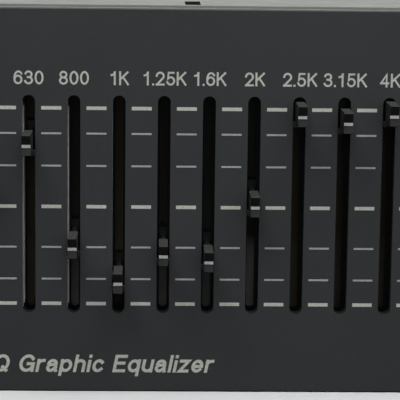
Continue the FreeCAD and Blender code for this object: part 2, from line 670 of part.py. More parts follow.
def make_main_board():
    body = new_body("main_board_body")
    outline = new_sketch(body, "main_board_outline", "XY_Plane", "main_board_z")
    add_rectangle(outline, "main_board_left_x", "main_board_front_y", "main_board_right_x",
                  "main_board_back_y")
    for x, y in main_post_places():
        add_circle(outline, x, y, "screw_hole")
    pad(body, "main_board_plate", outline, "board_thick")
    return sub_part(body, "main_board")


def make_posts():
    """Posts from the panel to the front board, and from the case bottom to the main board."""
    posts = []
    for i, (x, z) in enumerate(front_post_places()):
        outer = rod("front_post_%d" % i, "post_radius", (x, "0", z), "frame_back_y")
        bore = rod("front_post_bore_%d" % i, "screw_hole", (x, "panel_thick", z), "frame_back_y")
        posts.append(cut("front_post_tube_%d" % i, outer, bore))
    for i, (x, y) in enumerate(main_post_places()):
        foot = (x, y, "case_bottom_z + sheet")
        outer = rod("main_post_%d" % i, "main_post_radius", foot, "main_board_lift", FACING_UP)
        bore = rod("main_post_bore_%d" % i, "screw_hole", foot, "main_board_lift", FACING_UP)
        posts.append(cut("main_post_tube_%d" % i, outer, bore))
    return posts


def make_ribbon_cable():
    """Three flat cables from the front board's back, down to the main board's top."""
    body = new_body("ribbon_cable_body")
    high = "ribbon_z + ribbon_thick / 2"
    low = "ribbon_z - ribbon_thick / 2"
    near = "ribbon_y - ribbon_thick / 2"
    far = "ribbon_y + ribbon_thick / 2"
    bend_y = "ribbon_y - ribbon_bend"
    bend_z = "ribbon_z - ribbon_bend"
    start = "frame_back_y + board_thick"
    end = "main_board_z + board_thick"
    side = new_sketch(body, "ribbon_side", "YZ_Plane", "ribbon_first_x")
    add_outline(side, [
        (start, low), (bend_y, low, bend_y, bend_z, "cw"), (near, bend_z), (near, end),
        (far, end), (far, bend_z, bend_y, bend_z), (bend_y, high), (start, high)])
    first = pad(body, "ribbon", side, "ribbon_width", both=True)
    across = new_sketch(body, "ribbon_row_axis", "XZ_Plane")
    row_of(body, "ribbon_row", [first], across, "H_Axis", "ribbon_pitch",
           "ribbon_count", 1)
    return sub_part(body, "ribbon_cable")


# ---------------------------------------------------------------- electronics on the main board

def grid_on_board(label, block, name, x, y, pitch_x, columns, pitch_y, rows):
    """Copies of one component in rows and columns on the main board's top."""
    copies = []
    for row in range(rows):
        for column in range(columns):
            copies.append(copy_at(
                "%s_%d_%d" % (name, row, column), block, "%s + %d * %s" % (x, column, pitch_x),
                "%s + %d * %s" % (y, row, pitch_y), "main_board_z + board_thick"))
    return sub_part(group(name + "_group", copies), label)


def make_chips():
    """Eight-pin chips: a moulded block that stands on two rows of legs."""
    block = box("chip_block", ("0", "0", "chip_lift"), ("chip_length", "chip_width",
                                                       "chip_lift + chip_height"))
    legs = []
    for i in range(4):
        x = "chip_length * %g / 8" % (2 * i + 1)
        for side, y in (("near", "-0.3"), ("far", "chip_width")):
            legs.append(box("chip_leg_%s_%d" % (side, i), (x + " - 0.25", y, "0"),
                            (x + " + 0.25", y + " + 0.3", "chip_height / 2")))
    chip = fuse("chip", [block] + legs)
    return grid_on_board("op_amp_chips", chip, "chips", "chip_first_x", "chip_first_y",
                         "chip_pitch_x", int(number("chip_columns")), "chip_pitch_y", 2)


def make_film_capacitors():
    """Two moulded box capacitors for each band."""
    block = box("film_block", ("0", "0", "0"), ("film_length", "film_width", "film_height"))
    return grid_on_board("film_capacitors", block, "films", "film_first_x", "film_first_y",
                         "film_pitch_x", int(number("film_columns")), "film_pitch_y", 2)


def make_filter_capacitors():
    """Upright aluminium cans with a rolled groove near the foot."""
    body = new_body("filter_can")
    side = new_sketch(body, "can_side", "XZ_Plane")
    add_outline(side, [
        ("0", "0"), ("can_radius", "0"), ("can_radius", "2"), ("can_radius - can_groove", "2.7"),
        ("can_radius", "3.4"), ("can_radius", "can_height - 1"),
        ("can_radius - 1", "can_height"), ("0", "can_height")])
    turn(body, "can_turned", side, "V_Axis")
    cans = [copy_at("can_%d" % i, body, "can_x", "can_first_y + %d * can_pitch" % i,
                    "main_board_z + board_thick") for i in range(2)]
    return sub_part(group("can_group", cans), "filter_capacitors")


def make_heatsink():
    """A finned sink that stands on the board, with three regulators on its front."""
    floor = "main_board_z + board_thick"
    top = floor + " + sink_height"
    fins = [box("sink_base_plate", ("sink_x", "sink_y", floor),
                ("sink_x + sink_width", "sink_y + sink_base", top))]
    gap = "(sink_width - fin_thick) / (fin_count - 1)"
    for i in range(int(number("fin_count"))):
        x = "sink_x + %d * %s" % (i, gap)
        fins.append(box("fin_%d" % i, (x, "sink_y + sink_base", floor),
                        (x + " + fin_thick", "sink_y + sink_base + fin_length", top)))
    pieces = [fuse("finned_sink", fins)]
    for i in range(3):
        x = "sink_x + sink_width / 2 + %d * regulator_pitch" % (i - 1)
        pieces.append(box(
            "regulator_%d" % i,
            (x + " - regulator_width / 2", "sink_y - regulator_thick", floor + " + 4"),
            (x + " + regulator_width / 2", "sink_y", floor + " + 4 + regulator_height")))
    return sub_part(group("sink_group", pieces), "regulator_heatsink")


def make_transformer():
    """A laminated core with two windows, and the winding round its middle leg."""
    floor = "case_bottom_z + sheet"
    front, back = "core_y - core_stack / 2", "core_y + core_stack / 2"
    block = box("core_block", ("core_x - core_width / 2", front, floor),
                ("core_x + core_width / 2", back, floor + " + core_height"))
    low = floor + " + core_side"
    high = floor + " + core_height - core_side"
    windows = []
    for name, left, right in (
            ("left", "core_x - core_width / 2 + core_side", "core_x - core_leg / 2"),
            ("right", "core_x + core_leg / 2", "core_x + core_width / 2 - core_side")):
        windows.append(box("window_" + name, (left, front, low), (right, back, high)))
    core = cut("core_cut", block, fuse("windows", windows))
    reach = "core_width / 2 - core_side - coil_margin"
    outer = box("coil_block",
                ("core_x - (%s)" % reach, "core_y - coil_depth / 2", low + " + coil_margin"),
                ("core_x + (%s)" % reach, "core_y + coil_depth / 2", high + " - coil_margin"))
    leg = box("coil_hole",
              ("core_x - core_leg / 2 - coil_clearance", front + " - coil_clearance", low),
              ("core_x + core_leg / 2 + coil_clearance", back + " + coil_clearance", high))
    return (sub_part(core, "transformer_core"),
            sub_part(cut("coil_cut", outer, leg), "transformer_winding"))


# ---------------------------------------------------------------- front controls

def make_level_pot():
    """A round pot with a threaded bush through the panel, and the nut that holds it."""
    body = new_body("level_pot_body")
    bore = "shaft_radius + shaft_clearance"
    side = new_sketch(body, "pot_side", "XY_Plane")
    add_outline(side, [
        (bore, "bush_front_y"), ("bush_radius", "bush_front_y"), ("bush_radius", "pot_front_y"),
        ("pot_radius", "pot_front_y"), ("pot_radius", "pot_back_y"), ("0", "pot_back_y"),
        ("0", "pot_back_y - 1"), (bore, "pot_back_y - 1")])
    turn(body, "pot_turned", side, "V_Axis")
    nut = cut("pot_nut",
              prism("pot_nut_block", "nut_radius", ("0", "-panel_thick - nut_thick", "0"),
                    "nut_thick"),
              rod("pot_nut_hole", "bush_radius", ("0", "-panel_thick - nut_thick", "0"),
                  "nut_thick"))
    pot = group("level_pot_group", [body, nut])
    bind_place(pot, "knob_x", "0", "knob_z")
    return sub_part(pot, "level_pot")


def make_level_knob():
    """A fluted knob with a pointer groove, and the shaft that it turns."""
    body = new_body("knob_body")
    side = new_sketch(body, "knob_side", "XY_Plane")
    recess_y = "knob_back_y - knob_recess_depth"
    skirt_y = "knob_back_y - knob_skirt"
    add_outline(side, [
        ("shaft_radius + shaft_clearance", recess_y), ("knob_recess_radius", recess_y),
        ("knob_recess_radius", "knob_back_y"), ("knob_radius", "knob_back_y"),
        ("knob_radius - 0.6", skirt_y), ("knob_cap_radius", skirt_y + " - 1.5"),
        ("knob_cap_radius - 0.6", "knob_front_y + 0.8"),
        ("knob_cap_radius - 1.4", "knob_front_y"), ("0", "knob_front_y"),
        ("0", "shaft_front_y - shaft_clearance"),
        ("shaft_radius + shaft_clearance", "shaft_front_y - shaft_clearance")])
    turn(body, "knob_turned", side, "V_Axis")
    flute = new_sketch(body, "flute_outline", "XZ_Plane", "-knob_front_y")
    add_circle(flute, "0", "knob_cap_radius", "flute_radius")
    first = pocket(body, "flute", flute, "-knob_front_y + knob_back_y - knob_skirt - 1.5",
                   along=False)
    ring = body.newObject("PartDesign::PolarPattern", "flutes")
    ring.Originals = [first]
    ring.Axis = (flute, ["N_Axis"])
    ring.Angle = 360
    bind(ring, "Occurrences", "knob_flutes")
    finish_feature(body, ring, -1)
    pointer = new_sketch(body, "pointer_outline", "XZ_Plane", "-knob_front_y")
    add_rectangle(pointer, "-pointer_width / 2", "knob_cap_radius / 3", "pointer_width / 2",
                  "knob_cap_radius")
    pocket(body, "pointer", pointer, "pointer_depth", along=False)
    shaft = rod("knob_shaft", "shaft_radius", ("0", "shaft_front_y", "0"),
                "shaft_back_y - shaft_front_y")
    knob = group("level_knob_group", [body, shaft])
    bind_place(knob, "knob_x", "0", "knob_z")
    return sub_part(knob, "level_knob")


def make_push_switches():
    """Three square switch bodies with a bore for the plunger."""
    half = "switch_size / 2"
    bore = "switch_bore / 2"
    body = new_body("push_switch")
    outline = new_sketch(body, "switch_outline", "XZ_Plane", "-switch_front_y")
    add_rectangle(outline, "-" + half, "-" + half, half, half)
    pad(body, "switch_block", outline, "frame_back_y - switch_front_y", along=False)
    hole = new_sketch(body, "switch_bore_outline", "XZ_Plane", "-switch_front_y")
    add_rectangle(hole, "-" + bore, "-" + bore, bore, bore)
    pocket(body, "switch_bore_cut", hole, "switch_bore_end_y - switch_front_y", along=False)
    copies = [copy_at("push_switch_%d" % i, body, "button_first_x + %d * button_pitch" % i, "0",
                      "button_z") for i in range(3)]
    return sub_part(group("push_switch_group", copies), "push_switches")


def make_button():
    """One push button about its own centre line: a rounded cap and a square plunger."""
    body = new_body("push_button")
    outline = new_sketch(body, "button_outline", "XZ_Plane", "-button_back_y")
    add_rectangle(outline, "-button_width / 2", "-button_height / 2", "button_width / 2",
                  "button_height / 2")
    pad(body, "button_cap", outline, "button_back_y - button_front_y")
    front = number("button_front_y")
    round_edges(body, "button_rounding", "button_round",
                lambda e: along_depth(e) or e.BoundBox.YMax < front + 1e-6)
    stem = new_sketch(body, "plunger_outline", "XZ_Plane", "-button_back_y")
    add_rectangle(stem, "-plunger_size / 2", "-plunger_size / 2", "plunger_size / 2",
                  "plunger_size / 2")
    pad(body, "plunger", stem, "plunger_end_y - button_back_y", along=False)
    return body


def make_buttons():
    button = make_button()
    for i, label in enumerate(("eq_in_button", "low_cut_button", "range_button")):
        place = copy_at(label + "_link", button)
        bind_place(place, "button_first_x + %d * button_pitch" % i, "0", "button_z")
        sub_part(group(label + "_group", [place]), label)


def make_leds():
    """Round three-millimetre lamps: a domed body with a rim, and two leads to the board."""
    dome = doc.addObject("Part::Sphere", "led_dome")
    bind(dome, "Radius", "led_radius")
    bind_place(dome, "0", "led_dome_y", "0")
    tube = rod("led_tube", "led_radius", ("0", "led_dome_y", "0"), "led_flange_y - led_dome_y")
    rim = rod("led_rim", "led_flange", ("0", "led_flange_y", "0"), "led_flange_thick")
    pieces = [fuse("led_body", [dome, tube, rim])]
    for side in ("-", "+"):
        x = "%s led_lead_gap / 2" % side
        pieces.append(box("led_lead_" + ("left" if side == "-" else "right"),
                          (x + " - led_lead / 2", "led_flange_y + led_flange_thick",
                           "-led_lead / 2"),
                          (x + " + led_lead / 2", "frame_back_y", "led_lead / 2")))
    lamp = group("led", pieces)
    places = [("button_first_x + %d * button_pitch" % i, "led_z") for i in range(3)]
    places.append(("clip_led_x", "clip_led_z"))
    copies = [copy_at("led_%d" % i, lamp, x, "0", z) for i, (x, z) in enumerate(places)]
    power = copy_at("led_power", fuse("led_power_body", [dome, tube, rim]), "power_x", "0",
                    "power_led_z")
    return sub_part(group("led_group", copies + [power]), "indicator_leds")


def make_power_switch():
    """A frame that snaps into the panel, and the rocker that tilts in it on two pins."""
    face = "-panel_thick"
    bezel = box("switch_bezel",
                ("-bezel_width / 2", face + " - bezel_thick", "-bezel_height / 2"),
                ("bezel_width / 2", face, "bezel_height / 2"))
    shell = box("switch_shell",
                ("-power_cut_width / 2 + cover_gap", face, "-power_cut_height / 2 + cover_gap"),
                ("power_cut_width / 2 - cover_gap", "switch_back_y",
                 "power_cut_height / 2 - cover_gap"))
    well = box("switch_well",
               ("-well_half_width", face + " - bezel_thick", "-well_half_height"),
               ("well_half_width", face + " - bezel_thick + well_depth", "well_half_height"))
    bore = rod("pivot_bore", "pivot_radius + pivot_clearance",
               ("-well_half_width - pivot_length", "pivot_y", "0"),
               "2 * (well_half_width + pivot_length)", FACING_RIGHT)
    frame = cut("power_frame_cut", fuse("power_frame_block", [bezel, shell]),
                fuse("power_frame_space", [well, bore]))
    bind_place(frame, "power_x", "0", "power_z")
    sub_part(frame, "power_switch_frame")
    body = new_body("rocker_body")
    side = new_sketch(body, "rocker_side", "YZ_Plane")
    add_outline(side, [
        ("rocker_back", "-rocker_half_height / 3"), ("rocker_back", "rocker_half_height / 3"),
        ("0", "rocker_half_height"), ("-rocker_rim", "rocker_half_height"),
        ("-rocker_valley", "0"), ("-rocker_rim", "-rocker_half_height"),
        ("0", "-rocker_half_height")])
    pad(body, "rocker_block", side, "2 * rocker_half_width", both=True)
    rim = number("-rocker_rim")
    round_edges(body, "rocker_rounding", "rocker_round", lambda e: e.BoundBox.YMax < rim + 1e-6)
    pin = new_sketch(body, "pivot_outline", "YZ_Plane")
    add_circle(pin, "0", "0", "pivot_radius")
    pad(body, "pivot_pins", pin, "2 * (rocker_half_width + pivot_length)", both=True)
    body.Placement.Rotation = FreeCAD.Rotation(X_AXIS, 1)
    bind(body, "Placement.Rotation.Angle", "rocker_tilt")
    bind_place(body, "power_x", "pivot_y", "power_z")
    sub_part(body, "power_rocker")


# ---------------------------------------------------------------- rear connectors

def xlr_shell():
    """The flange and barrel that both connectors share, about their own centre line."""
    plate = box("xlr_plate", ("-xlr_flange_width / 2", "case_depth", "-xlr_flange_height / 2"),
                ("xlr_flange_width / 2", "case_depth + xlr_flange_thick",
                 "xlr_flange_height / 2"))
    barrel = rod("xlr_barrel_rod", "xlr_barrel", ("0", "xlr_back_y", "0"),
                 "case_depth - xlr_back_y")
    holes = [rod("xlr_cavity", "xlr_bore", ("0", "xlr_cavity_y", "0"),
                 "case_depth + xlr_flange_thick - xlr_cavity_y")]
    for side in ("-", "+"):
        holes.append(rod("xlr_hole_" + ("low" if side == "-" else "high"), "screw_hole",
                         (side + "xlr_screw_x", "case_depth", side + "xlr_screw_z"),
                         "xlr_flange_thick"))
    return cut("xlr_shell_cut", fuse("xlr_block", [plate, barrel]),
               fuse("xlr_shell_holes", holes))


def contact_places():
    """The three contacts, spread round a circle."""
    return [("pin_circle * %.6f" % math.cos(math.radians(angle)),
             "pin_circle * %.6f" % math.sin(math.radians(angle))) for angle in (30, 150, 270)]


def make_xlr_connectors():
    shell = xlr_shell()
    face = "case_depth + xlr_flange_thick"
    core = rod("xlr_insert_rod", "xlr_insert", ("0", "xlr_cavity_y", "0"),
               face + " - xlr_cavity_y")
    bores = [rod("contact_bore_%d" % i, "contact_radius", (x, face + " - contact_depth", z),
                 "contact_depth") for i, (x, z) in enumerate(contact_places())]
    socket = fuse("xlr_socket", [shell, cut("xlr_insert_cut", core, fuse("contact_bores", bores))])
    pins = [rod("contact_pin_%d" % i, "pin_radius", (x, "xlr_cavity_y", z),
                "pin_end_y - xlr_cavity_y") for i, (x, z) in enumerate(contact_places())]
    for label, source, x in (("xlr_input", [socket], "xlr_in_x"),
                             ("xlr_output", [shell] + pins, "xlr_out_x")):
        place = copy_at(label + "_link", group(label + "_pieces", source), x, "0", "connector_z")
        sub_part(group(label + "_group", [place]), label)


def make_phone_jacks():
    """Two 6.35 mm jacks: a square body, a threaded bush through the wall, and a nut."""
    half = "jack_body / 2"
    inside = "case_depth - sheet"
    block = box("jack_block", ("-" + half, "jack_body_back_y", "-" + half),
                (half, inside, half))
    bush = rod("jack_bush_rod", "jack_bush", ("0", inside, "0"), "jack_front_y - (%s)" % inside)
    bore = rod("jack_bore_rod", "jack_bore", ("0", "jack_bore_end_y", "0"),
               "jack_front_y - jack_bore_end_y")
    jack = cut("jack_cut", fuse("jack_body_block", [block, bush]), bore)
    nut = cut("jack_nut_cut",
              prism("jack_nut_block", "jack_nut", ("0", "case_depth", "0"), "jack_nut_thick"),
              rod("jack_nut_hole", "jack_bush", ("0", "case_depth", "0"), "jack_nut_thick"))
    pair = group("jack_pieces", [jack, nut])
    copies = [copy_at(x + "_jack", pair, x, "0", "connector_z")
              for x in ("jack_in_x", "jack_out_x")]
    return sub_part(group("jack_group", copies), "phone_jacks")


def make_power_inlet():
    """A mains inlet: a flange with two screw holes, a shaped recess, and three blades."""
    face = "case_depth + inlet_flange_thick"
    flange = box("inlet_flange",
                 ("-inlet_flange_width / 2", "case_depth", "-inlet_flange_height / 2"),
                 ("inlet_flange_width / 2", face, "inlet_flange_height / 2"))
    block = box("inlet_block",
                ("-inlet_body_width / 2", "inlet_body_back_y", "-inlet_body_height / 2"),
                ("inlet_body_width / 2", "case_depth", "inlet_body_height / 2"))
    body = new_body("inlet_recess_body")
    outline = new_sketch(body, "inlet_recess_outline", "XZ_Plane", "-(%s)" % face)
    side, end = "inlet_recess_width / 2", "inlet_recess_height / 2"
    add_outline(outline, [
        ("-" + side, "-" + end), (side, "-" + end), (side, end + " - inlet_chamfer"),
        (side + " - inlet_chamfer", end), ("-%s + inlet_chamfer" % side, end),
        ("-" + side, end + " - inlet_chamfer")])
    pad(body, "inlet_recess", outline, face + " - inlet_recess_y")
    holes = [body]
    for sign in ("-", "+"):
        holes.append(rod("inlet_hole_" + ("left" if sign == "-" else "right"), "screw_hole",
                         (sign + "inlet_screw_x", "case_depth", "0"), "inlet_flange_thick"))
    shell = cut("inlet_cut", fuse("inlet_solid", [flange, block]), fuse("inlet_spaces", holes))
    blades = []
    for name, x, z in (("left", "-blade_x", "-blade_drop"), ("right", "blade_x", "-blade_drop"),
                       ("earth", "0", "blade_drop")):
        blades.append(box(
            "blade_" + name,
            (x + " - blade_width / 2", "inlet_recess_y", z + " - blade_height / 2"),
            (x + " + blade_width / 2", "blade_end_y", z + " + blade_height / 2")))
    inlet = group("inlet_group", [shell] + blades)
    bind_place(inlet, "inlet_x", "0", "inlet_z")
    return sub_part(inlet, "power_inlet")


# ---------------------------------------------------------------- screws

def cross_recess(name, top):
    """Two crossed bars, to be cut out of a screw's head."""
    bars = []
    for i, (x, y) in enumerate((("cross_length", "cross_width"), ("cross_width",
                                                                  "cross_length"))):
        bars.append(box("%s_bar_%d" % (name, i),
                        ("-%s / 2" % x, "-%s / 2" % y, top + " - cross_depth"),
                        (x + " / 2", y + " / 2", top)))
    return fuse(name + "_cross", bars)


def pan_screw():
    """A pan-head screw that stands on its head's underside at the origin."""
    body = new_body("pan_screw")
    side = new_sketch(body, "pan_side", "XZ_Plane")
    add_outline(side, [
        ("0", "-screw_length"), ("screw_radius", "-screw_length"), ("screw_radius", "0"),
        ("screw_head", "0"), ("screw_head", "screw_head_height / 2"),
        ("screw_head - 0.9", "screw_head_height"), ("0", "screw_head_height")])
    turn(body, "pan_turned", side, "V_Axis")
    return cut("pan_screw_cut", body, cross_recess("pan", "screw_head_height"))


def sunk_screw():
    """A countersunk screw whose flat head is level with the origin."""
    body = new_body("sunk_screw")
    side = new_sketch(body, "sunk_side", "XZ_Plane")
    add_outline(side, [
        ("0", "-sunk_length"), ("screw_radius", "-sunk_length"),
        ("screw_radius", "screw_radius - sunk_head"), ("sunk_head", "0"), ("0", "0")])
    turn(body, "sunk_turned", side, "V_Axis")
    return cut("sunk_screw_cut", body, cross_recess("sunk", "0"))


def make_fasteners():
    """Every post and screw."""
    pan = pan_screw()
    sunk = sunk_screw()
    places = []
    for x in ("-panel_screw_x", "panel_screw_x"):
        for z in ("-panel_screw_z", "panel_screw_z"):
            places.append((sunk, x, "-panel_thick", z, FACING_FRONT))
    cover_side = "case_width / 2 + cover_gap + sheet"
    for i in range(3):
        y = "side_screw_first_y + %d * side_screw_pitch" % i
        places.append((pan, "-(%s)" % cover_side, y, "side_screw_z", FACING_LEFT))
        places.append((pan, cover_side, y, "side_screw_z", FACING_RIGHT))
        places.append((pan, "%d * rear_screw_pitch" % (i - 1), "case_depth + cover_gap + sheet",
                       "rear_screw_z", FACING_BACK))
    for x in ("xlr_in_x", "xlr_out_x"):
        for sign in ("-", "+"):
            places.append((pan, "%s %s xlr_screw_x" % (x, sign),
                           "case_depth + xlr_flange_thick",
                           "connector_z %s xlr_screw_z" % sign, FACING_BACK))
    for sign in ("-", "+"):
        places.append((pan, "inlet_x %s inlet_screw_x" % sign,
                       "case_depth + inlet_flange_thick", "inlet_z", FACING_BACK))
    for x, z in front_post_places():
        places.append((pan, x, "frame_back_y + board_thick", z, FACING_BACK))
    for x, y in main_post_places():
        places.append((pan, x, y, "main_board_z + board_thick", FACING_UP))
    copies = [copy_at("screw_%d" % i, source, x, y, z, facing)
              for i, (source, x, y, z, facing) in enumerate(places)]
    return sub_part(group("fastener_group", make_posts() + copies), "fasteners")


# ---------------------------------------------------------------- build, check and write

def check_document():
    """Stops on any object that failed to rebuild, and on any sub-part without a good shape."""
    doc.recompute()
    for obj in doc.Objects:
        if "Invalid" in obj.State or "Error" in obj.State:
            raise RuntimeError("%s: %s" % (obj.Name, obj.State))
    for part in sub_parts:
        shape = part.Shape
        if shape.isNull() or not shape.isValid() or not shape.Solids:
            raise RuntimeError("%s has no valid solid" % part.Label)


def write_parts():
    os.makedirs("parts", exist_ok=True)
    for part in sub_parts:
        part.Shape.exportStep("parts/%s.step" % part.Label)


make_front_panel()
make_faders()
make_slider_frames()
make_slider_tracks()
make_chassis_tray()
make_rear_panel()
make_top_cover()
make_slider_board()
make_main_board()
make_ribbon_cable()
make_chips()
make_film_capacitors()
make_filter_capacitors()
make_heatsink()
make_transformer()
make_level_pot()
make_level_knob()
make_push_switches()
make_buttons()
make_leds()
make_power_switch()
make_xlr_connectors()
make_phone_jacks()
make_power_inlet()
make_fasteners()
check_document()
write_parts()
print("wrote %d sub-parts" % len(sub_parts))
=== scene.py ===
import json
import math

import bpy
from mathutils import Matrix, Vector


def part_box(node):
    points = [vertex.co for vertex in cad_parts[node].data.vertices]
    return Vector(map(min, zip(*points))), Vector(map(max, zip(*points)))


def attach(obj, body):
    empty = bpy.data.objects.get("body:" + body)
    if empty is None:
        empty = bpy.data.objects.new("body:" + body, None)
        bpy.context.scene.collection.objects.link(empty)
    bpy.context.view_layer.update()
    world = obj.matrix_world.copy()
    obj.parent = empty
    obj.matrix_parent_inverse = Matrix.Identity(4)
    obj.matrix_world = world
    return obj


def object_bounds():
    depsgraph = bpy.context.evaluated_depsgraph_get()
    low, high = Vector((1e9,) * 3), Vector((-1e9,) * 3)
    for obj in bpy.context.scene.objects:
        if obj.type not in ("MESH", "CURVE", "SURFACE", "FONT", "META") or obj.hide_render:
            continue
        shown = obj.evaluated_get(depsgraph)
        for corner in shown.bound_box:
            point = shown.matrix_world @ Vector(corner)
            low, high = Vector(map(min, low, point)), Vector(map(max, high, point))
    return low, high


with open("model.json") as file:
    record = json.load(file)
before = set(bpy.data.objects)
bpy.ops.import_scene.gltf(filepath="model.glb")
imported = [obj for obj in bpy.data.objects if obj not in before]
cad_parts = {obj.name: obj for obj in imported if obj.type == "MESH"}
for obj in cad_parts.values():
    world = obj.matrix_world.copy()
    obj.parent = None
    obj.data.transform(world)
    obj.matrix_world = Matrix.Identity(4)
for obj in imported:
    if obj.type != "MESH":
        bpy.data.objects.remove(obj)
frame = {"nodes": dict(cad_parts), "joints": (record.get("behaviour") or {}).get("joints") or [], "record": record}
cad_low, cad_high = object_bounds()

# A rack graphic equalizer. Lengths are in metres, in the CAD frame: X to the right along the front
# panel, Y from front to back, Z up. Places come from the frame's own boxes and joints.
MM = 0.001
NODES = frame["nodes"]
JOINTS = dict((joint["name"], joint) for joint in frame["joints"])
SLOTS = dict((entry["node"], entry["material_slot"]) for entry in frame["record"]["subparts"])
SLIDERS = sorted((n for n in NODES if "slide_" + n[len("slider_"):] in JOINTS),
                 key=lambda n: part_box(n)[0].x)


def middle(node):
    low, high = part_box(node)
    return (low + high) / 2


PANEL_LOW, PANEL_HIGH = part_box("front_panel")
FACE_Y = PANEL_LOW.y
TRAVEL_LOW, TRAVEL_HIGH = JOINTS["slide_" + SLIDERS[0][len("slider_"):]]["range_m"]
ZERO_Z = middle(SLIDERS[0]).z + (TRAVEL_LOW + TRAVEL_HIGH) / 2    # the 0 dB line
HALF_TRAVEL = (TRAVEL_HIGH - TRAVEL_LOW) / 2
BAND_X = [middle(n).x for n in SLIDERS]
PITCH = (BAND_X[-1] - BAND_X[0]) / (len(BAND_X) - 1)
PRINT = 0.03 * MM     # how far the printed ink stands proud
X_HEIGHT = 0.69       # a small letter's height, as a share of a capital's


# ---------------------------------------------------------------- materials

class Shader:
    """A node material round one Principled shader, with short ways to add texture nodes."""

    def __init__(self, name, color, roughness, metallic=0.0):
        self.material = bpy.data.materials.new(name)
        self.material.use_nodes = True
        self.tree = self.material.node_tree
        self.principled = self.tree.nodes["Principled BSDF"]
        self.principled.inputs["Base Color"].default_value = (*color, 1)
        self.principled.inputs["Roughness"].default_value = roughness
        self.principled.inputs["Metallic"].default_value = metallic
        self.place = self.tree.nodes.new("ShaderNodeTexCoord").outputs["Object"]

    def node(self, kind, **settings):
        made = self.tree.nodes.new(kind)
        for key, value in settings.items():
            setattr(made, key, value)
        return made

    def link(self, source, target):
        self.tree.links.new(source, target)

    def stretch(self, scale):
        """Object coordinates, scaled differently along each axis."""
        mapping = self.node("ShaderNodeMapping")
        mapping.inputs["Scale"].default_value = scale
        self.link(self.place, mapping.inputs["Vector"])
        return mapping.outputs["Vector"]

    def noise(self, size, detail=3.0, rough=0.55, place=None):
        """Noise whose features are about size metres across, from 0 to 1."""
        made = self.node("ShaderNodeTexNoise")
        made.inputs["Scale"].default_value = 1 / size
        made.inputs["Detail"].default_value = detail
        made.inputs["Roughness"].default_value = rough
        self.link(place or self.place, made.inputs["Vector"])
        return made.outputs["Fac"]

    def ramp(self, value, stops):
        """Maps a value to colours or greys: stops are (position, colour or grey)."""
        made = self.node("ShaderNodeValToRGB")
        elements = made.color_ramp.elements
        while len(elements) < len(stops):
            elements.new(0.5)
        for element, (position, color) in zip(elements, stops):
            element.position = position
            element.color = (color, color, color, 1) if isinstance(color, float) else (*color, 1)
        self.link(value, made.inputs["Fac"])
        return made.outputs["Color"]

    def mix(self, factor, first, second):
        """Blends two colours, or a colour and an output, by a factor."""
        made = self.node("ShaderNodeMix", data_type="RGBA")
        self.link(factor, made.inputs[0])
        for value, socket in ((first, made.inputs[6]), (second, made.inputs[7])):
            if isinstance(value, tuple):
                socket.default_value = (*value, 1)
            else:
                self.link(value, socket)
        return made.outputs[2]

    def color(self, output):
        self.link(output, self.principled.inputs["Base Color"])

    def roughness(self, output):
        self.link(output, self.principled.inputs["Roughness"])

    def bump(self, height, distance, strength=1.0):
        """Adds a bump on top of any that is there already."""
        made = self.node("ShaderNodeBump")
        made.inputs["Distance"].default_value = distance
        made.inputs["Strength"].default_value = strength
        self.link(height, made.inputs["Height"])
        before = self.principled.inputs["Normal"]
        if before.is_linked:
            self.link(before.links[0].from_socket, made.inputs["Normal"])
        self.link(made.outputs["Normal"], before)

    def set(self, name, value):
        self.principled.inputs[name].default_value = value


def panel_paint():
    """Dark blue-grey baked paint with a fine texture and faint handling marks."""
    s = Shader("panel_paint", (0.058, 0.065, 0.070), 0.5)
    cloud = s.noise(35 * MM, 4)
    grain = s.noise(0.35 * MM, 2)
    tone = s.ramp(cloud, [(0.3, (0.050, 0.057, 0.061)), (0.7, (0.060, 0.066, 0.070))])
    fleck = s.ramp(grain, [(0.35, 0.0), (0.75, 0.35)])
    s.color(s.mix(fleck, tone, (0.080, 0.085, 0.088)))
    s.roughness(s.ramp(s.noise(9 * MM, 5), [(0.3, 0.44), (0.7, 0.58)]))
    s.bump(grain, 0.02 * MM)
    return s.material


def bare_aluminium(name, light, dark):
    """Streaked aluminium colour: bare metal on the panel's outer edges, and a painted highlight on one wall of
    each opening in the panel and on the slot strips.
    """
    s = Shader(name, light, 0.5)
    streaks = s.noise(0.5 * MM, 3, place=s.stretch((1, 0.15, 1)))
    s.color(s.ramp(streaks, [(0.3, dark), (0.7, light)]))
    s.roughness(s.ramp(s.noise(3 * MM, 3), [(0.3, 0.42), (0.7, 0.56)]))
    s.bump(streaks, 0.02 * MM)
    return s.material


def slider_track(name, upper, lower):
    """Resistive board whose lower third takes a second colour, much paler on some."""
    s = Shader(name, upper, 0.5)
    height = s.node("ShaderNodeSeparateXYZ")
    s.link(s.place, height.inputs[0])
    rise = s.node("ShaderNodeMapRange")
    rise.inputs["From Min"].default_value = ZERO_Z - 0.38 * HALF_TRAVEL
    rise.inputs["From Max"].default_value = ZERO_Z - 0.52 * HALF_TRAVEL
    s.link(height.outputs["Z"], rise.inputs["Value"])
    paler_tone = s.mix(s.noise(1.2 * MM, 4), tuple(0.75 * c for c in lower), lower)
    s.color(s.mix(rise.outputs["Result"], upper, paler_tone))
    s.bump(s.noise(0.3 * MM, 2), 0.02 * MM)
    return s.material


def case_sheet():
    """Light grey zinc-plated steel with a faint rolled grain."""
    s = Shader("case_sheet", (0.30, 0.31, 0.28), 0.5, 0.15)
    grain = s.noise(0.8 * MM, 4, place=s.stretch((0.06, 1, 1)))
    cloud = s.noise(22 * MM, 5)
    tone = s.ramp(cloud, [(0.3, (0.30, 0.31, 0.28)), (0.7, (0.34, 0.35, 0.318))])
    s.color(s.mix(s.ramp(grain, [(0.35, 0.0), (0.8, 0.3)]), tone, (0.26, 0.27, 0.245)))
    s.roughness(s.ramp(s.noise(6 * MM, 4), [(0.3, 0.38), (0.7, 0.52)]))
    s.bump(grain, 0.01 * MM)
    return s.material


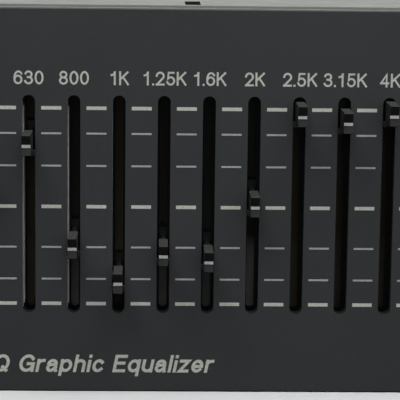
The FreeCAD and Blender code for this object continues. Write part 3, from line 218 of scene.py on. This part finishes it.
def moulded(name, color, rough=0.45, grain_size=0.18, gloss=0.5):
    """Satin moulded plastic with a fine spark-eroded texture."""
    s = Shader(name, color, rough)
    s.set("Specular IOR Level", gloss)
    grain = s.noise(grain_size * MM, 2)
    lighter = tuple(min(1.0, 1.35 * c + 0.004) for c in color)
    s.color(s.mix(s.ramp(s.noise(4 * MM, 4), [(0.35, 0.0), (0.75, 0.6)]), color, lighter))
    s.roughness(s.ramp(s.noise(2.5 * MM, 3), [(0.3, rough - 0.06), (0.7, rough + 0.08)]))
    s.bump(grain, 0.012 * MM)
    return s.material


def metal(name, color, rough=0.32, streak=0.25):
    """Plated metal with turned or rolled marks."""
    s = Shader(name, color, rough, 1.0)
    marks = s.noise(0.3 * MM, 3, place=s.stretch((1, streak, 1)))
    darker = tuple(0.72 * c for c in color)
    s.color(s.mix(s.ramp(s.noise(3 * MM, 4), [(0.35, 0.0), (0.75, 0.7)]), color, darker))
    s.roughness(s.ramp(marks, [(0.3, rough - 0.08), (0.7, rough + 0.1)]))
    s.bump(marks, 0.008 * MM)
    return s.material


def ink(name, color):
    """Screen-printed ink: slightly uneven cover and a soft edge of sheen."""
    s = Shader(name, color, 0.55)
    thin = tuple(0.82 * c for c in color)
    s.color(s.mix(s.ramp(s.noise(0.6 * MM, 3), [(0.4, 0.0), (0.7, 1.0)]), color, thin))
    s.bump(s.noise(0.15 * MM, 2), 0.006 * MM)
    return s.material


def board_laminate():
    """Green solder mask over copper tracks, which show as slightly lighter raised lines."""
    s = Shader("board_laminate", (0.012, 0.10, 0.035), 0.3)
    bricks = s.node("ShaderNodeTexBrick")
    bricks.inputs["Scale"].default_value = 1 / (9 * MM)
    bricks.inputs["Mortar Size"].default_value = 0.06
    bricks.inputs["Color1"].default_value = (0, 0, 0, 1)
    bricks.inputs["Color2"].default_value = (0, 0, 0, 1)
    bricks.inputs["Mortar"].default_value = (1, 1, 1, 1)
    s.link(s.place, bricks.inputs["Vector"])
    s.color(s.mix(bricks.outputs["Color"], (0.010, 0.085, 0.030), (0.030, 0.20, 0.070)))
    s.bump(bricks.outputs["Color"], 0.03 * MM)
    return s.material


def lamp_lens():
    """Tinted clear epoxy."""
    s = Shader("lamp_red", (0.50, 0.02, 0.015), 0.12)
    s.set("Transmission Weight", 0.45)
    s.set("IOR", 1.5)
    s.color(s.ramp(s.noise(1.5 * MM, 2), [(0.3, (0.42, 0.015, 0.01)), (0.7, (0.60, 0.03, 0.02))]))
    return s.material


def floor_surface():
    """A pale table. Far off, where the lights don't reach, a painted glow that grows with distance brightens it to
    meet the backdrop.
    """
    s = Shader("floor_surface", (0.88, 0.89, 0.89), 0.6)
    s.color(s.ramp(s.noise(60 * MM, 3), [(0.3, (0.86, 0.87, 0.87)), (0.7, (0.90, 0.91, 0.91))]))
    distance = s.node("ShaderNodeVectorMath", operation="LENGTH")
    s.link(s.place, distance.inputs[0])
    glow = s.node("ShaderNodeMapRange")
    near, far, brightest = 0.9, 2.9, 0.45
    for name, value in (("From Min", near), ("From Max", far), ("To Min", 0.0),
                        ("To Max", brightest)):
        glow.inputs[name].default_value = value
    s.link(distance.outputs["Value"], glow.inputs["Value"])
    # painted light: the floor glows more with distance from the origin
    s.set("Emission Color", (1, 1, 1, 1))
    s.link(glow.outputs["Result"], s.principled.inputs["Emission Strength"])
    return s.material


MATERIALS = {
    "panel_paint": panel_paint(),
    # painted highlight: bright metal colour for the lit left walls of the openings and for the slot strips
    "wall_aluminium": bare_aluminium("wall_aluminium", (0.88, 0.87, 0.82), (0.70, 0.69, 0.64)),
    # painted shade: a near-black colour for walls of openings and of the cover's notch, where shade falls
    "wall_shade": moulded("wall_shade", (0.016, 0.016, 0.015), 0.6),
    "edge_aluminium": bare_aluminium("edge_aluminium", (0.17, 0.17, 0.16), (0.15, 0.15, 0.14)),
    "track_clean": slider_track("track_clean", (0.11, 0.09, 0.052), (0.16, 0.14, 0.10)),
    "track_dusty": slider_track("track_dusty", (0.045, 0.042, 0.036), (0.50, 0.50, 0.48)),
    "case_sheet": case_sheet(),
    "board_laminate": board_laminate(),
    "lamp_red": lamp_lens(),
    "fader_plastic": moulded("fader_plastic", (0.022, 0.023, 0.024), 0.58, gloss=0.35),
    # painted sheen: a paler colour for the caps' top faces
    "dusty_plastic": moulded("dusty_plastic", (0.042, 0.042, 0.040), 0.72, gloss=0.3),
    "knob_plastic": moulded("knob_plastic", (0.014, 0.015, 0.016), 0.40),
    "switch_plastic": moulded("switch_plastic", (0.012, 0.012, 0.013), 0.45),
    "button_plastic": moulded("button_plastic", (0.13, 0.135, 0.135), 0.45),
    "jack_plastic": moulded("jack_plastic", (0.010, 0.010, 0.011), 0.4),
    "rocker_plastic": moulded("rocker_plastic", (0.010, 0.010, 0.011), 0.22, 0.5),
    "chip_black": moulded("chip_black", (0.015, 0.015, 0.016), 0.5),
    "film_red": moulded("film_red", (0.25, 0.02, 0.012), 0.3),
    "ribbon_grey": moulded("ribbon_grey", (0.34, 0.34, 0.34), 0.5),
    "winding_tape": moulded("winding_tape", (0.55, 0.33, 0.03), 0.35),
    "can_aluminium": moulded("can_aluminium", (0.02, 0.03, 0.10), 0.3),
    "frame_steel": metal("frame_steel", (0.035, 0.035, 0.035), 0.5),
    "plated_steel": metal("plated_steel", (0.55, 0.54, 0.50), 0.3),
    "lever_steel": metal("lever_steel", (0.40, 0.40, 0.38), 0.35),
    "sink_aluminium": metal("sink_aluminium", (0.04, 0.04, 0.04), 0.45),
    "core_steel": metal("core_steel", (0.16, 0.16, 0.17), 0.45, 6),
    "connector_plate": metal("connector_plate", (0.42, 0.41, 0.39), 0.3),
    "contact_gold": metal("contact_gold", (0.60, 0.55, 0.45), 0.22),
    "legend_ink": ink("legend_ink", (0.95, 0.96, 0.87)),
    "tick_ink": ink("tick_ink", (0.70, 0.71, 0.73)),
    "mark_ink": ink("mark_ink", (0.93, 0.93, 0.90)),
}


def set_materials(obj, names, choose=None):
    """Gives an object these materials; choose(polygon) says which one a face takes."""
    obj.data.materials.clear()
    for name in names:
        obj.data.materials.append(MATERIALS[name])
    for polygon in obj.data.polygons:
        polygon.material_index = choose(polygon) if choose else 0


def gild(node, reach_x, reach_z):
    """Plates a connector's contacts: what stands in its recess, near its axis."""
    centre = middle(node)
    recess_depth = 14 * MM
    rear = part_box("rear_panel")[1].y

    def plated(polygon):
        off = polygon.center - centre
        inside = rear - recess_depth < polygon.center.y < rear and abs(polygon.normal.y) < 0.99
        return int(inside and abs(off.x) < reach_x and abs(off.z) < reach_z)

    set_materials(NODES[node], [SLOTS[node], "contact_gold"], plated)


def paint_panel():
    """Paint on the front and bare metal on the outer edges. The openings get a painted highlight on their left
    walls and painted shade, near black, on their other walls.
    """
    painted, highlight_wall, edge, dark_wall = range(4)
    inner_low, inner_high = PANEL_LOW + Vector((MM, 0, MM)), PANEL_HIGH - Vector((MM, 0, MM))

    def milled(polygon):
        if abs(polygon.normal.y) > 0.5:
            return painted
        x, z = polygon.center.x, polygon.center.z
        if not (inner_low.x < x < inner_high.x and inner_low.z < z < inner_high.z):
            return edge
        # walls facing right take the painted highlight, the rest take painted shade
        return highlight_wall if polygon.normal.x > 0.98 else dark_wall

    set_materials(NODES["front_panel"], ["panel_paint", "wall_aluminium", "edge_aluminium",
                                         "wall_shade"], milled)


def paint_tracks():
    """The tracks of the faders that stand somewhat low are much paler on their lower part."""
    lowest, highest = -0.55 * HALF_TRAVEL, 0.15 * HALF_TRAVEL
    paler_bands = [middle(n).x for n in SLIDERS if lowest < middle(n).z - ZERO_Z < highest]
    set_materials(NODES["slider_tracks"], ["track_clean", "track_dusty"],
                  lambda p: int(any(abs(p.center.x - x) < PITCH / 2 for x in paler_bands)))


def paint_cover():
    """The walls of the notch in the cover's front take painted shade: they are near black where the notch lies in
    shade.
    """
    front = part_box("top_cover")[0].y + 0.5 * MM
    half_width, depth, below_panel_top = 2.2 * MM, 20 * MM, 2 * MM
    # painted shade on the walls of the notch
    set_materials(NODES["top_cover"], ["case_sheet", "wall_shade"],
                  lambda p: int(abs(p.normal.z) < 0.5 and abs(p.center.x) < half_width
                                and p.center.z > PANEL_HIGH.z - below_panel_top
                                and front < p.center.y < front + depth))


def paint_sliders():
    """Plastic cap with a paler top that is painted sheen, steel lever, and plastic carriage behind."""
    cap, lever, carriage, paler_tone = range(4)
    cap_back = FACE_Y - 0.75 * MM
    carriage_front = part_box("slider_frames")[0].y + 0.5 * MM

    def layer(polygon):
        if polygon.center.y < cap_back:
            # top faces take a paler colour that is painted sheen
            return paler_tone if polygon.normal.z > 0.9 else cap
        return lever if polygon.center.y < carriage_front else carriage

    for node in SLIDERS:
        set_materials(NODES[node], ["fader_plastic", "lever_steel", "switch_plastic",
                                    "dusty_plastic"], layer)


def paint_nodes():
    """Every CAD node takes the material of its slot, and a few take more than one."""
    for node, obj in NODES.items():
        set_materials(obj, [SLOTS[node] if SLOTS[node] in MATERIALS else "track_clean"])
        obj.data.shade_smooth()
        obj.data.set_sharp_from_angle(angle=math.radians(30))
    paint_panel()
    paint_tracks()
    paint_cover()
    paint_sliders()
    gild("xlr_output", 5 * MM, 5 * MM)
    gild("power_inlet", 8.5 * MM, 7 * MM)


# ---------------------------------------------------------------- printed marks

def arc(x, y, across, tall, start, end):
    """Points along part of an ellipse, from one angle in degrees to another."""
    steps = max(3, round(abs(end - start) / 15))
    angles = [math.radians(start + (end - start) * i / steps) for i in range(steps + 1)]
    return [(x + across * math.cos(a), y + tall * math.sin(a)) for a in angles]


def ring(x, y, across, tall):
    return arc(x, y, across, tall, 0, 360)


def mirrored(strokes, width, height):
    """Strokes turned half way round in a box."""
    return [[(width - x, height - y) for x, y in stroke] for stroke in strokes]


def make_glyphs():
    """Plain sans-serif characters as centre lines of strokes, in a box one capital tall.

    Each entry is the character's width and its strokes. A stroke that ends where it starts is a
    closed loop.
    """
    h = X_HEIGHT
    six = [ring(0.25, 0.32, 0.25, 0.32), arc(0.28, 0.5, 0.28, 0.5, 40, 180) + [(0, 0.32)]]
    bowl = ring(0.25, h / 2, 0.25, h / 2)
    arch = [(0, 0.42)] + arc(0.23, h - 0.25, 0.23, 0.25, 180, 0) + [(0.46, 0)]
    return {
        "0": (0.5, [ring(0.25, 0.5, 0.25, 0.5)]),
        "1": (0.42, [[(0.06, 0.76), (0.2, 0.80), (0.28, 0.97)], [(0.29, 1), (0.29, 0)]]),
        "2": (0.5, [arc(0.25, 0.71, 0.25, 0.29, 175, -30) + [(0.02, 0)], [(0, 0), (0.5, 0)]]),
        "3": (0.5, [arc(0.25, 0.765, 0.22, 0.235, 165, -75) + [(0.2, 0.53)],
                    [(0.2, 0.53)] + arc(0.25, 0.265, 0.25, 0.265, 78, -165)]),
        "4": (0.52, [[(0.4, 0), (0.4, 1), (0, 0.27)], [(0, 0.27), (0.52, 0.27)]]),
        "5": (0.5, [[(0.45, 1), (0.1, 1), (0.04, 0.48)]
                    + arc(0.25, 0.31, 0.25, 0.31, 140, -162)]),
        "6": (0.5, six),
        "7": (0.5, [[(0, 1), (0.5, 1), (0.33, 0.72), (0.21, 0.38), (0.16, 0)]]),
        "8": (0.5, [ring(0.25, 0.765, 0.215, 0.235), ring(0.25, 0.265, 0.25, 0.265)]),
        "9": (0.5, mirrored(six, 0.5, 1)),
        ".": (0.0, [[(0, 0), (0, 0.01)]]),
        "+": (0.5, [[(0, 0.42), (0.5, 0.42)], [(0.25, 0.17), (0.25, 0.67)]]),
        "-": (0.3, [[(0, 0.4), (0.3, 0.4)]]),
        " ": (0.16, []),
        "A": (0.62, [[(0, 0), (0.31, 1), (0.62, 0)], [(0.11, 0.33), (0.51, 0.33)]]),
        "C": (0.64, [arc(0.34, 0.5, 0.34, 0.5, 35, 325)]),
        "E": (0.52, [[(0.52, 1), (0, 1), (0, 0), (0.52, 0)], [(0, 0.53), (0.46, 0.53)]]),
        "G": (0.68, [arc(0.35, 0.5, 0.35, 0.5, 38, 330) + [(0.68, 0.46), (0.4, 0.46)],
                     [(0.68, 0.46), (0.68, 0)]]),
        "I": (0.0, [[(0, 0), (0, 1)]]),
        "K": (0.56, [[(0, 0), (0, 1)], [(0.53, 1), (0, 0.38)], [(0.2, 0.61), (0.56, 0)]]),
        "L": (0.46, [[(0, 1), (0, 0), (0.46, 0)]]),
        "N": (0.58, [[(0, 0), (0, 1), (0.58, 0), (0.58, 1)]]),
        "O": (0.7, [ring(0.35, 0.5, 0.35, 0.5)]),
        "P": (0.54, [[(0, 0), (0, 1), (0.3, 1)] + arc(0.3, 0.74, 0.24, 0.26, 90, -90)
                     + [(0, 0.48)]]),
        "Q": (0.7, [ring(0.35, 0.5, 0.35, 0.5), [(0.44, 0.24), (0.66, 0)]]),
        "R": (0.58, [[(0, 0), (0, 1), (0.3, 1)] + arc(0.3, 0.755, 0.24, 0.245, 90, -90)
                     + [(0, 0.51)], [(0.3, 0.51), (0.54, 0.36), (0.56, 0)]]),
        "T": (0.56, [[(0, 1), (0.56, 1)], [(0.28, 1), (0.28, 0)]]),
        "U": (0.58, [[(0, 1), (0, 0.3)] + arc(0.29, 0.3, 0.29, 0.3, 180, 360) + [(0.58, 1)]]),
        "V": (0.6, [[(0, 1), (0.3, 0), (0.6, 1)]]),
        "W": (0.86, [[(0, 1), (0.21, 0), (0.43, 1), (0.65, 0), (0.86, 1)]]),
        "a": (0.46, [[(0.02, h - 0.2)] + arc(0.22, h - 0.21, 0.2, 0.21, 150, 0) + [(0.42, 0.1),
                     (0.46, 0)], [(0.42, 0.43)] + arc(0.17, 0.2, 0.17, 0.2, 95, 300)
                     + [(0.42, 0.2)]]),
        "c": (0.44, [arc(0.24, h / 2, 0.24, h / 2, 42, 318)]),
        "e": (0.48, [[(0.01, h * 0.47), (0.48, h * 0.47)] + arc(0.24, h / 2, 0.24, h / 2, 8, 318)]),
        "h": (0.46, [[(0, 0), (0, 1)], arch]),
        "i": (0.0, [[(0, 0), (0, h - 0.05)], [(0, 0.99), (0, 1)]]),
        "l": (0.0, [[(0, 0), (0, 1)]]),
        "n": (0.46, [[(0, 0), (0, h)], arch]),
        "o": (0.5, [bowl]),
        "p": (0.5, [bowl, [(0, -0.27), (0, h)]]),
        "q": (0.5, [bowl, [(0.5, -0.27), (0.5, h)]]),
        "r": (0.28, [[(0, 0), (0, h)], [(0, 0.4)] + arc(0.26, h - 0.28, 0.26, 0.28, 180, 85)]),
        "s": (0.42, [arc(0.21, h - 0.19, 0.19, 0.19, 20, 250)
                     + arc(0.21, 0.19, 0.21, 0.19, 72, -160)]),
        "t": (0.26, [[(0.11, 0.95), (0.11, 0.06), (0.26, 0)], [(0, h), (0.26, h)]]),
        "u": (0.46, mirrored([[(0, 0), (0, h)], arch], 0.46, h)),
        "z": (0.42, [[(0, h), (0.42, h), (0, 0), (0.42, 0)]]),
    }


GLYPHS = make_glyphs()


def stroke_sides(points, half):
    """The two sides of a stroke with mitred corners and square ends, or of a closed loop."""
    closed = math.dist(points[0], points[-1]) < 1e-6
    points = [Vector(p) for p in points]
    if closed:
        points = points[:-1]
    count = len(points)
    sides = []
    for i in range(count):
        before = points[i] - points[i - 1] if closed or i > 0 else points[1] - points[0]
        after = (points[(i + 1) % count] - points[i] if closed or i < count - 1
                 else points[-1] - points[-2])
        before, after = before.normalized(), after.normalized()
        miter = Vector((-before.y - after.y, before.x + after.x))
        miter = miter / max(miter.length_squared, 0.5) * 2 * half
        place = points[i]
        if not closed and i == 0:
            place = place - after * half
        if not closed and i == count - 1:
            place = place + before * half
        sides.append((place + miter, place - miter))
    return sides + [sides[0]] if closed else sides


class Print:
    """Collects flat printed shapes on one plane and makes one thin mesh of them."""

    def __init__(self, name, material, place, across, up):
        self.name = name
        self.material = material
        self.place = place
        self.axes = (across, up, across.cross(up))
        self.vertices = []
        self.faces = []

    def strip(self, sides, rise=PRINT):
        """A thin strip between two lines of points. It climbs very slightly along its length, so
        that it never lies level with itself where it crosses its own path."""
        first = len(self.vertices)
        for i, (left, right) in enumerate(sides):
            top = rise * (1 + 0.01 * i)
            for point, rise_here in ((left, top), (right, top), (right, 0), (left, 0)):
                self.vertices.append(self.place + self.axes[0] * point.x
                                     + self.axes[1] * point.y + self.axes[2] * rise_here)
        for i in range(len(sides) - 1):
            a = first + 4 * i
            self.faces += [(a + j, a + 4 + j, a + 4 + (j + 1) % 4, a + (j + 1) % 4)
                           for j in range(4)]
        last = first + 4 * (len(sides) - 1)
        self.faces += [(first, first + 1, first + 2, first + 3),
                       (last + 3, last + 2, last + 1, last)]

    def bar(self, x, z, width, height):
        """A thin printed bar centred on (x, z)."""
        high, low = z + height / 2, z - height / 2
        self.strip([(Vector((x + s * width / 2, high)), Vector((x + s * width / 2, low)))
                    for s in (-1, 1)])

    def text(self, words, x, z, height, align=0.5, stroke=0.13, gap=0.17, slant=0.0):
        """Words whose capitals are height tall and stand on the line at z.

        align is the share of the words' length that lies before x. stroke, the thickness of the
        lines, and gap, the space between characters, are shares of the height.
        """
        tall = 1 - stroke
        length = sum(GLYPHS[c][0] + stroke + gap for c in words) - gap
        pen = -length * align + stroke / 2
        for character in words:
            width, strokes = GLYPHS[character]
            for layer, line in enumerate(strokes):
                points = [(pen + px, stroke / 2 + py * tall) for px, py in line]
                sides = stroke_sides(points, stroke / 2)
                placed = [tuple(Vector((x + (p.x + p.y * slant) * height,
                                        z + p.y * height)) for p in pair) for pair in sides]
                self.strip(placed, PRINT * (1 + 0.4 * layer))
            pen += width + stroke + gap

    def finish(self, body="chassis", slot="panel_paint"):
        """Makes the mesh, which rides on a body."""
        mesh = bpy.data.meshes.new(self.name)
        mesh.from_pydata(self.vertices, [], self.faces)
        mesh.validate()
        obj = bpy.data.objects.new(self.name, mesh)
        bpy.context.scene.collection.objects.link(obj)
        mesh.materials.append(MATERIALS[self.material])
        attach(obj, body)


RIGHT = Vector((1, 0, 0))
UP = Vector((0, 0, 1))
FRONT_ORIGIN = Vector((0, FACE_Y, 0))
ROW_MARKS = ((0, 0.0), (5, 0.415), (10, 0.742), (15, 0.998))     # decibels, share of travel
LABEL_RISE = 27.7 * MM          # from the 0 dB line to the frequency numbers' foot
TITLE_DROP = 38.6 * MM          # from the 0 dB line down to the title's foot
MARK_LENGTH = 4.5 * MM          # a printed mark between two slots
THICK_MARK, THIN_MARK = 0.80 * MM, 0.42 * MM
SMALL_PRINT = 1.9 * MM          # capitals of the level numbers and control words
WORD_GAP = 1.6 * MM             # between a control and its word
VIEW_BAND = 19                  # the band at the middle of the camera's view: 1.6 kHz


def band_label(node):
    """slider_1_25_khz gives 1.25K, and slider_630_hz gives 630."""
    words = node[len("slider_"):].split("_")
    number = ".".join(words[:-1])
    if number == "31":
        number = "31.5"
    return number + ("K" if words[-1] == "khz" else "")


def print_levels():
    """The rows of marks between the slots, and their levels in decibels at both ends."""
    thin = Print("tick_marks", "tick_ink", FRONT_ORIGIN, RIGHT, UP)
    thick = Print("main_tick_marks", "legend_ink", FRONT_ORIGIN, RIGHT, UP)
    numbers = Print("level_numbers", "legend_ink", FRONT_ORIGIN, RIGHT, UP)
    gaps = [BAND_X[0] - PITCH / 2] + [x + PITCH / 2 for x in BAND_X]
    for level, share in ROW_MARKS:
        for sign in ((1, -1) if level else (1,)):
            z = ZERO_Z + sign * share * HALF_TRAVEL
            for x in gaps:
                if level in (0, 15):
                    thick.bar(x, z, MARK_LENGTH, THICK_MARK)
                else:
                    thin.bar(x, z, MARK_LENGTH, THIN_MARK)
            words = ("+" if sign > 0 else "-") + str(level) if level else "0"
            foot = z - SMALL_PRINT / 2
            numbers.text(words, gaps[0] - 3.4 * MM, foot, SMALL_PRINT, align=1)
            numbers.text(words, gaps[-1] + 3.4 * MM, foot, SMALL_PRINT, align=0)
    for shapes in (thin, thick, numbers):
        shapes.finish()


def print_bands():
    """The frequency numbers over the slots, and the words under them."""
    numbers = Print("band_numbers", "legend_ink", FRONT_ORIGIN, RIGHT, UP)
    for node, x in zip(SLIDERS, BAND_X):
        numbers.text(band_label(node), x, ZERO_Z + LABEL_RISE, 3.12 * MM, stroke=0.145, gap=0.11)
    title = Print("panel_title", "legend_ink", FRONT_ORIGIN, RIGHT, UP)
    title.text("Constant Q Graphic Equalizer", BAND_X[VIEW_BAND] + 1.3 * MM, ZERO_Z - TITLE_DROP,
               4.13 * MM, align=1, stroke=0.175, gap=0.108, slant=0.2)
    numbers.finish()
    title.finish()


def print_fader_marks():
    """The painted line on the waist of each cap."""
    half_width, half_line, drop = 0.98 * MM, 0.34 * MM, 0.2 * MM
    bpy.context.view_layer.update()
    for node in SLIDERS:
        centre = middle(node) - UP * drop
        start = Vector((centre.x, FACE_Y - 30 * MM, centre.z))
        waist = NODES[node].ray_cast(start, Vector((0, 1, 0)))[1].y
        line = Print("line_" + node, "mark_ink", Vector((0, waist, 0)), RIGHT, UP)
        line.bar(centre.x, centre.z, 2 * half_width, 2 * half_line)
        line.finish(node, "fader_plastic")


def make_slot_liners():
    """Bright strips behind the left edges of the slots from 20 Hz to 800 Hz: a painted highlight where light falls
    on those walls.
    """
    highlighted_slots, half_slot, thick, overhang = 17, 1.45 * MM, 0.08 * MM, 0.2 * MM
    top, foot = ZERO_Z + HALF_TRAVEL, ZERO_Z - HALF_TRAVEL - 0.5 * MM
    front, back = PANEL_HIGH.y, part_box("slider_frames")[0].y - 0.1 * MM
    points, faces = [], []
    for x in BAND_X[:highlighted_slots]:
        first = len(points)
        for z in (foot, top):
            for y in (front, back):
                for edge in (x - half_slot - thick, x - half_slot + overhang):
                    points.append((edge, y, z))
        for corners in ((0, 1, 3, 2), (4, 6, 7, 5), (0, 4, 5, 1), (2, 3, 7, 6), (0, 2, 6, 4),
                        (1, 5, 7, 3)):
            faces.append([first + corner for corner in corners])
    mesh = bpy.data.meshes.new("slot_highlight_strips")
    mesh.from_pydata(points, [], faces)
    mesh.materials.append(MATERIALS["wall_aluminium"])
    strips = bpy.data.objects.new("slot_highlight_strips", mesh)
    bpy.context.scene.collection.objects.link(strips)
    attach(strips, "chassis")


def print_controls():
    """The words at the controls on the right of the panel and over the sockets behind."""
    words = Print("control_words", "legend_ink", FRONT_ORIGIN, RIGHT, UP)
    knob_low, knob_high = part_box("level_knob")
    knob = (knob_low + knob_high) / 2
    radius = (knob_high.x - knob_low.x) / 2
    words.text("LEVEL", knob.x, knob_low.z - WORD_GAP - SMALL_PRINT - MM, SMALL_PRINT)
    first_angle, step_angle = 225, 27
    for step in range(11):
        angle = math.radians(first_angle - step_angle * step)
        along = Vector((math.cos(angle), math.sin(angle)))
        aside = Vector((-along.y, along.x)) * 0.15 * MM
        centre = Vector((knob.x, knob.z))
        inner, outer = centre + along * (radius + MM), centre + along * (radius + 2.4 * MM)
        words.strip([(inner + aside, inner - aside), (outer + aside, outer - aside)])
    for node, label in (("eq_in_button", "EQ IN"), ("low_cut_button", "LOW CUT"),
                        ("range_button", "RANGE"), ("power_switch_frame", "POWER")):
        words.text(label, middle(node).x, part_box(node)[0].z - WORD_GAP - SMALL_PRINT, SMALL_PRINT)
    rear_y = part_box("rear_panel")[1].y
    back = Print("socket_words", "legend_ink", Vector((0, rear_y, 0)), -RIGHT, UP)
    for node, label in (("xlr_input", "INPUT"), ("xlr_output", "OUTPUT")):
        back.text(label, -middle(node).x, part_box(node)[1].z + WORD_GAP, 3 * MM)
    words.finish()
    back.finish(slot="case_sheet")


# ---------------------------------------------------------------- stage, lights and camera

def make_floor():
    """The pale table that the case stands on. It is seen, and catches the object's shadow."""
    mesh = bpy.data.meshes.new("floor")
    reach, low = 3.0, cad_low.z
    mesh.from_pydata([(-reach, -reach, low), (reach, -reach, low), (reach, reach, low),
                      (-reach, reach, low)], [], [(0, 1, 2, 3)])
    mesh.materials.append(floor_surface())
    floor = bpy.data.objects.new("floor", mesh)
    bpy.context.scene.collection.objects.link(floor)
    floor.visible_diffuse = False
    floor.visible_glossy = False


def make_backdrop():
    """A pale wall all round, far off, that is only seen: it gives no light and throws none back."""
    bpy.ops.mesh.primitive_uv_sphere_add(segments=32, ring_count=16, radius=9)
    wall = bpy.context.object
    wall.name = "backdrop"
    material = bpy.data.materials.new("backdrop_wall")
    material.use_nodes = True
    shader = material.node_tree.nodes["Principled BSDF"]
    shader.inputs["Base Color"].default_value = (0, 0, 0, 1)
    shader.inputs["Emission Color"].default_value = (0.60, 0.61, 0.62, 1)
    shader.inputs["Emission Strength"].default_value = 1
    wall.data.materials.append(material)
    wall.visible_diffuse = False
    wall.visible_glossy = False
    wall.visible_transmission = False
    wall.visible_shadow = False


def area_light(name, place, target, size, power):
    data = bpy.data.lights.new(name, "AREA")
    data.shape = "RECTANGLE"
    data.size, data.size_y = size
    data.energy = power
    light = bpy.data.objects.new(name, data)
    light.location = place
    light.rotation_euler = (Vector(target) - Vector(place)).to_track_quat("-Z", "Y").to_euler()
    bpy.context.scene.collection.objects.link(light)


def make_lights():
    """A broad soft light nearly overhead, a weak one in front, and dimmer ones behind."""
    world = bpy.data.worlds.new("dim_room")
    world.use_nodes = True
    background = world.node_tree.nodes["Background"]
    background.inputs["Color"].default_value = (1.0, 1.0, 1.0, 1)
    background.inputs["Strength"].default_value = 0.04
    bpy.context.scene.world = world
    area_light("ceiling", (0.22, -0.42, 1.40), (0, 0, 0), (2.2, 0.7), 25.5)
    area_light("room_fill", (0.5, -1.7, 0.5), (0, 0, 0), (2.4, 1.4), 4.9)
    area_light("far_wall", (0.2, 2.6, 0.55), (0, 0, 0.05), (3.0, 0.9), 7)
    area_light("rear_window", (-2.0, 2.0, 0.7), (0, 0.15, 0), (1.6, 1.0), 40)


def make_camera():
    """A close view of the panel's middle, from a little above."""
    distance, elevation, azimuth, roll = 0.426, 9.4, -1.57, 0.68
    seen_width = 90.75 * MM
    target = Vector((BAND_X[VIEW_BAND] - 1.9 * MM, FACE_Y, ZERO_Z + 1.72 * MM))
    a, e = math.radians(azimuth), math.radians(elevation)
    back = Vector((math.sin(a) * math.cos(e), -math.cos(a) * math.cos(e), math.sin(e)))
    data = bpy.data.cameras.new("camera")
    data.sensor_width = 36
    data.lens = data.sensor_width * distance / seen_width
    data.clip_start = 0.01
    camera = bpy.data.objects.new("camera", data)
    camera.rotation_mode = "QUATERNION"
    camera.location = target + back * distance
    turn = (-back).to_track_quat("-Z", "Y")
    spin = Matrix.Rotation(math.radians(roll), 3, "Z").to_quaternion()
    camera.rotation_quaternion = turn @ spin
    bpy.context.scene.collection.objects.link(camera)
    bpy.context.scene.camera = camera


make_camera()
make_lights()
make_floor()
make_backdrop()
paint_nodes()
print_levels()
print_bands()
print_fader_marks()
print_controls()
make_slot_liners()
bpy.context.scene.view_settings.view_transform = "Standard"
